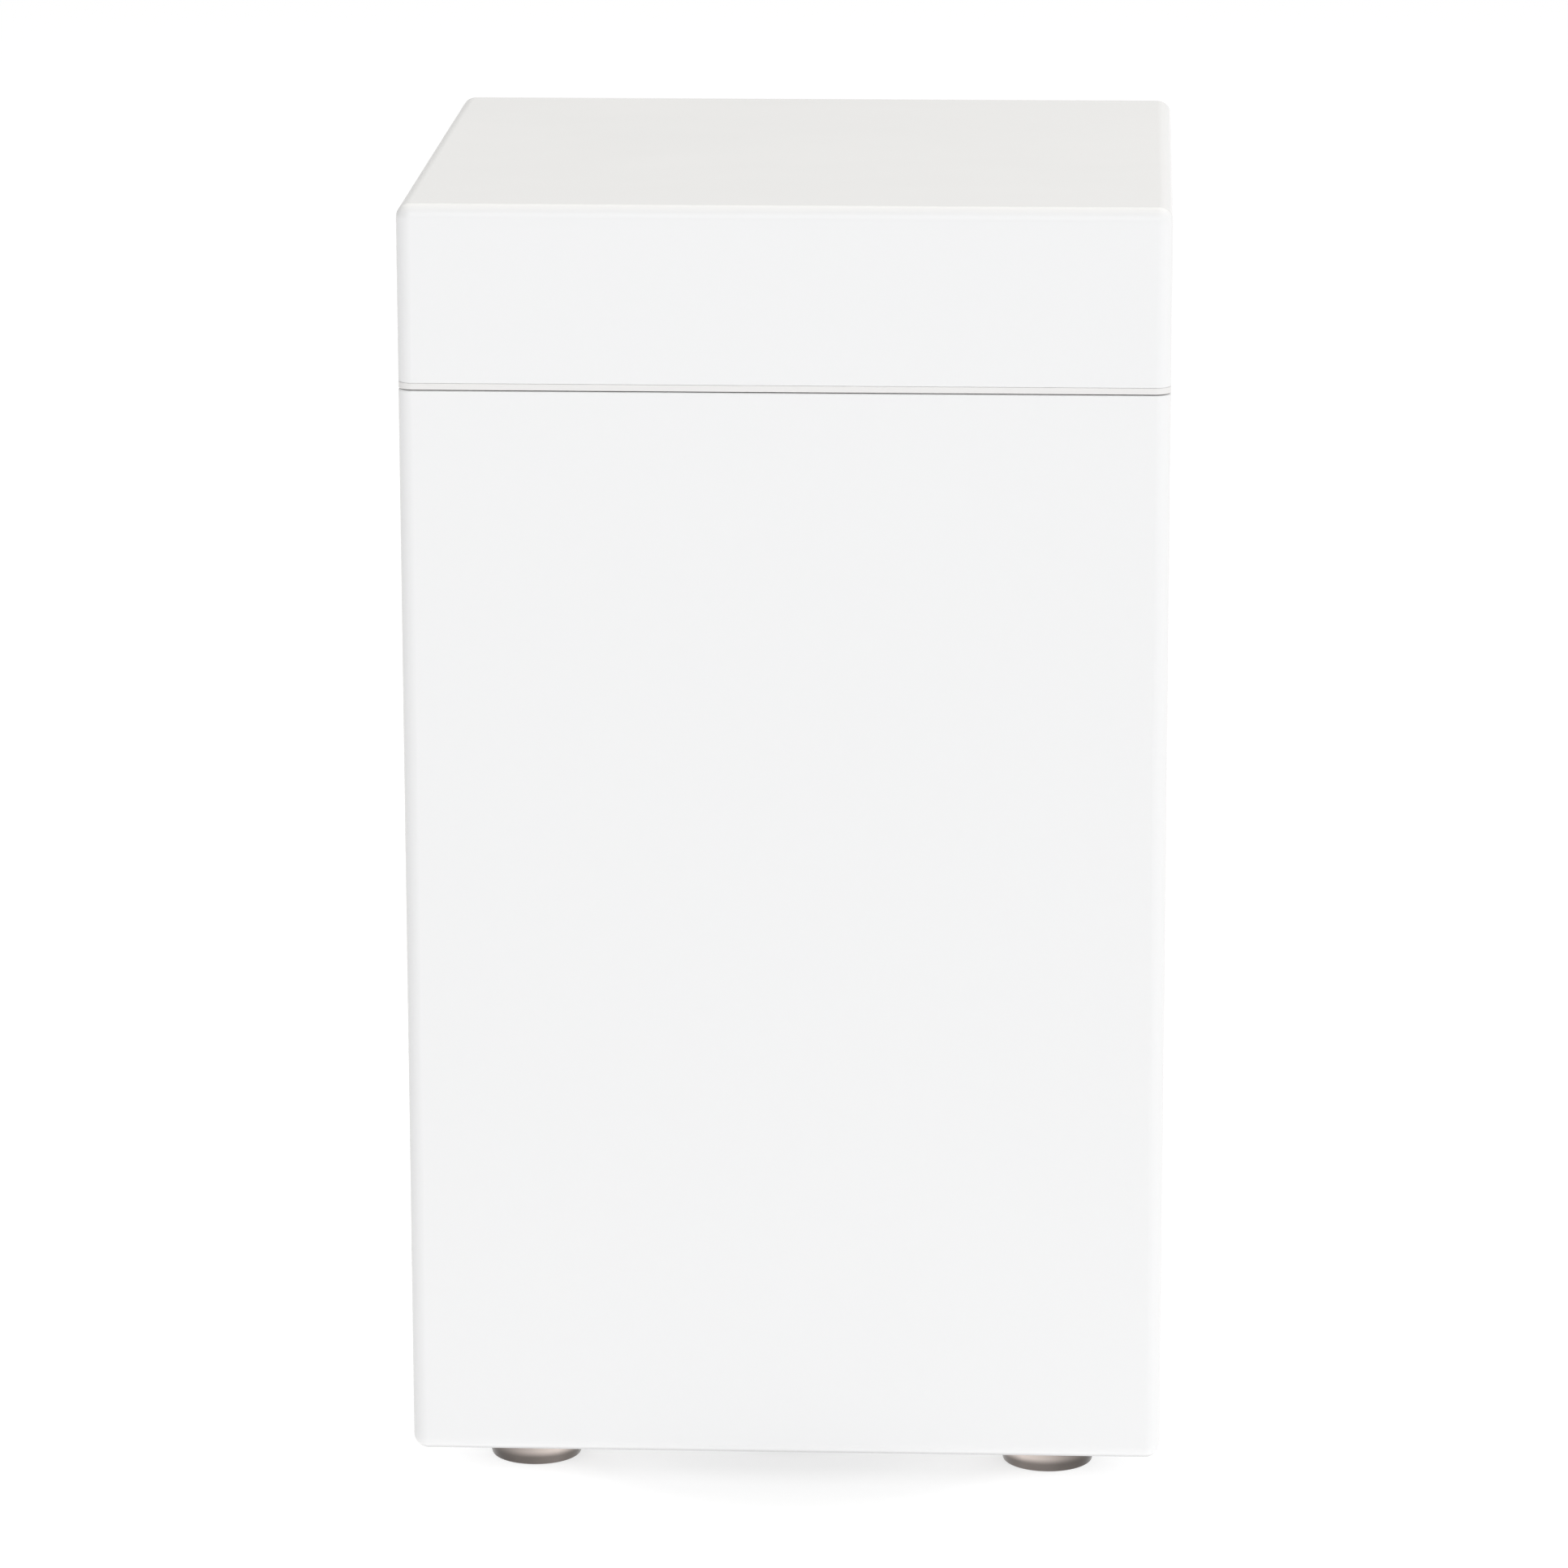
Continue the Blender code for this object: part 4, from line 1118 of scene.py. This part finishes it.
class FRIDGE_OT_stage(bpy.types.Operator):
    """Floor, soft lights and camera"""

    bl_idname = "fridge.stage"
    bl_label = "Stage"

    def execute(self, context):
        stage = context.scene.fridge.stage
        self.floor(stage)
        self.room(stage)
        self.lamp("front_light", (0.3, -4.0, 3.2), 3.0, stage.key, (0.96, 0.98, 1.0))
        for side, x in (("left", -3.2), ("right", 3.2)):
            self.lamp("side_light_" + side, (x, -0.9, 2.6), 0.4, stage.side, (1.0, 1.0, 1.0))
        self.lamp("overhead_light", (0.0, 1.2, 3.7), 5.0, stage.over, (1.0, 0.95, 0.84))
        self.camera(context)
        context.scene.view_settings.view_transform = "Standard"
        context.scene.view_settings.look = "None"
        return {"FINISHED"}

    def floor(self, stage):
        """Pale square floor that glows, with a painted shadow: the glow is lowest under the middle
        of the fridge and grows with distance from it.
        """
        reach = 14.0
        corners = [(-reach, -reach, 0), (reach, -reach, 0), (reach, reach, 0), (-reach, reach, 0)]
        mesh = bpy.data.meshes.new("floor")
        mesh.from_pydata(corners, [], [(0, 1, 2, 3)])
        paint = finish("floor_paint", stage.floor, 0.9, 0.004, 0.5, 40.0, bump=0.0, specular=0.0)
        tree = paint.node_tree
        place = tree.nodes["place"].outputs["Object"]
        narrow = add(tree, "Mapping", {"Vector": place, "Scale": (1.35, 1.0, 1.0)})
        distance = add(tree, "VectorMath", operation="LENGTH")
        feed(distance, {0: narrow.outputs["Vector"]})
        glow_and_painted_shadow = add(tree, "ValToRGB", {"Fac": distance.outputs["Value"]})
        glow_and_painted_shadow.color_ramp.interpolation = "EASE"
        # Painted shadow: low glow under the fridge, rising outwards to a bright floor.
        levels = ((0.10, 0.37), (0.14, 0.60), (0.20, 0.66), (0.26, 0.79), (0.34, 0.82))
        grey_stops(glow_and_painted_shadow, (*levels, (0.46, 0.82), (1.0, 0.74)))
        light = {"Emission Color": (1.0, 1.0, 1.0, 1.0), "Emission Strength": glow_and_painted_shadow.outputs["Color"]}
        feed(tree.nodes["Principled BSDF"], light)
        mesh.materials.append(paint)
        linked("floor", mesh)

    def room(self, stage):
        """White surroundings that brighten smoothly from the left to the right."""
        world = bpy.data.worlds.new("studio")
        world.use_nodes = True
        tree = world.node_tree
        direction = add(tree, "TexCoord").outputs["Generated"]
        split = add(tree, "SeparateXYZ", {"Vector": direction})
        span = {"From Min": -1.0, "From Max": 0.4, "To Min": stage.left, "To Max": stage.right}
        value = {"Value": split.outputs["X"], **span}
        fade = add(tree, "MapRange", value, interpolation_type="SMOOTHSTEP").outputs["Result"]
        feed(tree.nodes["Background"], {"Color": (1.0, 1.0, 1.0, 1.0), "Strength": fade})
        bpy.context.scene.world = world

    def lamp(self, name, place, size, power, colour):
        """Square soft light at a place, aimed at the middle of the fridge."""
        light = bpy.data.lights.new(name, "AREA")
        light.color = colour
        light.shape = "SQUARE"
        light.size = size
        light.energy = power
        obj = linked(name, light)
        obj.location = place
        aim = Vector((0.0, 0.0, 0.4)) - Vector(place)
        obj.rotation_euler = aim.to_track_quat("-Z", "Y").to_euler()

    def camera(self, context):
        """Camera turned by its yaw, then down by its pitch, then rolled about its own axis."""
        view = bpy.data.cameras.new("camera")
        view.sensor_width = 36.0
        view.lens = 165.04
        view.clip_end = 60.0
        pitch, yaw, roll = np.radians((13.74033, 2.82049, -0.12566))
        cos, sin = np.cos(yaw), np.sin(yaw)
        ahead = np.array((-sin * np.cos(pitch), cos * np.cos(pitch), -np.sin(pitch)))
        right = np.array((cos, sin, 0.0))
        up = np.cross(right, ahead)
        turn = np.eye(4)
        turn[:3, 0] = np.cos(roll) * right + np.sin(roll) * up
        turn[:3, 1] = -np.sin(roll) * right + np.cos(roll) * up
        turn[:3, 2] = -ahead
        turn[:3, 3] = (0.179645, -3.845877, 1.285604)
        obj = linked("camera", view)
        obj.matrix_world = Matrix(turn.tolist())
        context.scene.camera = obj


OPERATORS = (
    FRIDGE_OT_lid, FRIDGE_OT_rim, FRIDGE_OT_door, FRIDGE_OT_sides, FRIDGE_OT_feet, FRIDGE_OT_back,
    FRIDGE_OT_hinges, FRIDGE_OT_door_inside, FRIDGE_OT_cavity, FRIDGE_OT_trays, FRIDGE_OT_deck,
    FRIDGE_OT_controls, FRIDGE_OT_ice_box, FRIDGE_OT_fittings, FRIDGE_OT_carried_nodes,
    FRIDGE_OT_stage,
)


class FRIDGE_PT_panel(bpy.types.Panel):
    """The fridge's settings and the buttons that build its pieces"""

    bl_idname = "FRIDGE_PT_panel"
    bl_label = "Mini fridge"
    bl_space_type = "VIEW_3D"
    bl_region_type = "UI"
    bl_category = "Fridge"

    def draw(self, context):
        settings = context.scene.fridge
        for group in (settings.casing, settings.foot, settings.stage):
            box = self.layout.box()
            for name in group.bl_rna.properties.keys():
                if name not in ("name", "rna_type"):
                    box.prop(group, name)
        for operator in OPERATORS:
            self.layout.operator(operator.bl_idname)


GROUPS = (CasingSettings, FootSettings, StageSettings, FridgeSettings)
CLASSES = (*GROUPS, *OPERATORS, FRIDGE_PT_panel)


def register():
    for cls in CLASSES:
        bpy.utils.register_class(cls)
    bpy.types.Scene.fridge = PointerProperty(type=FridgeSettings)


def unregister():
    del bpy.types.Scene.fridge
    for cls in reversed(CLASSES):
        bpy.utils.unregister_class(cls)


def main():
    register()
    for operator in OPERATORS:
        group, name = operator.bl_idname.split(".")
        getattr(getattr(bpy.ops, group), name)()


if __name__ == "__main__":
    main()
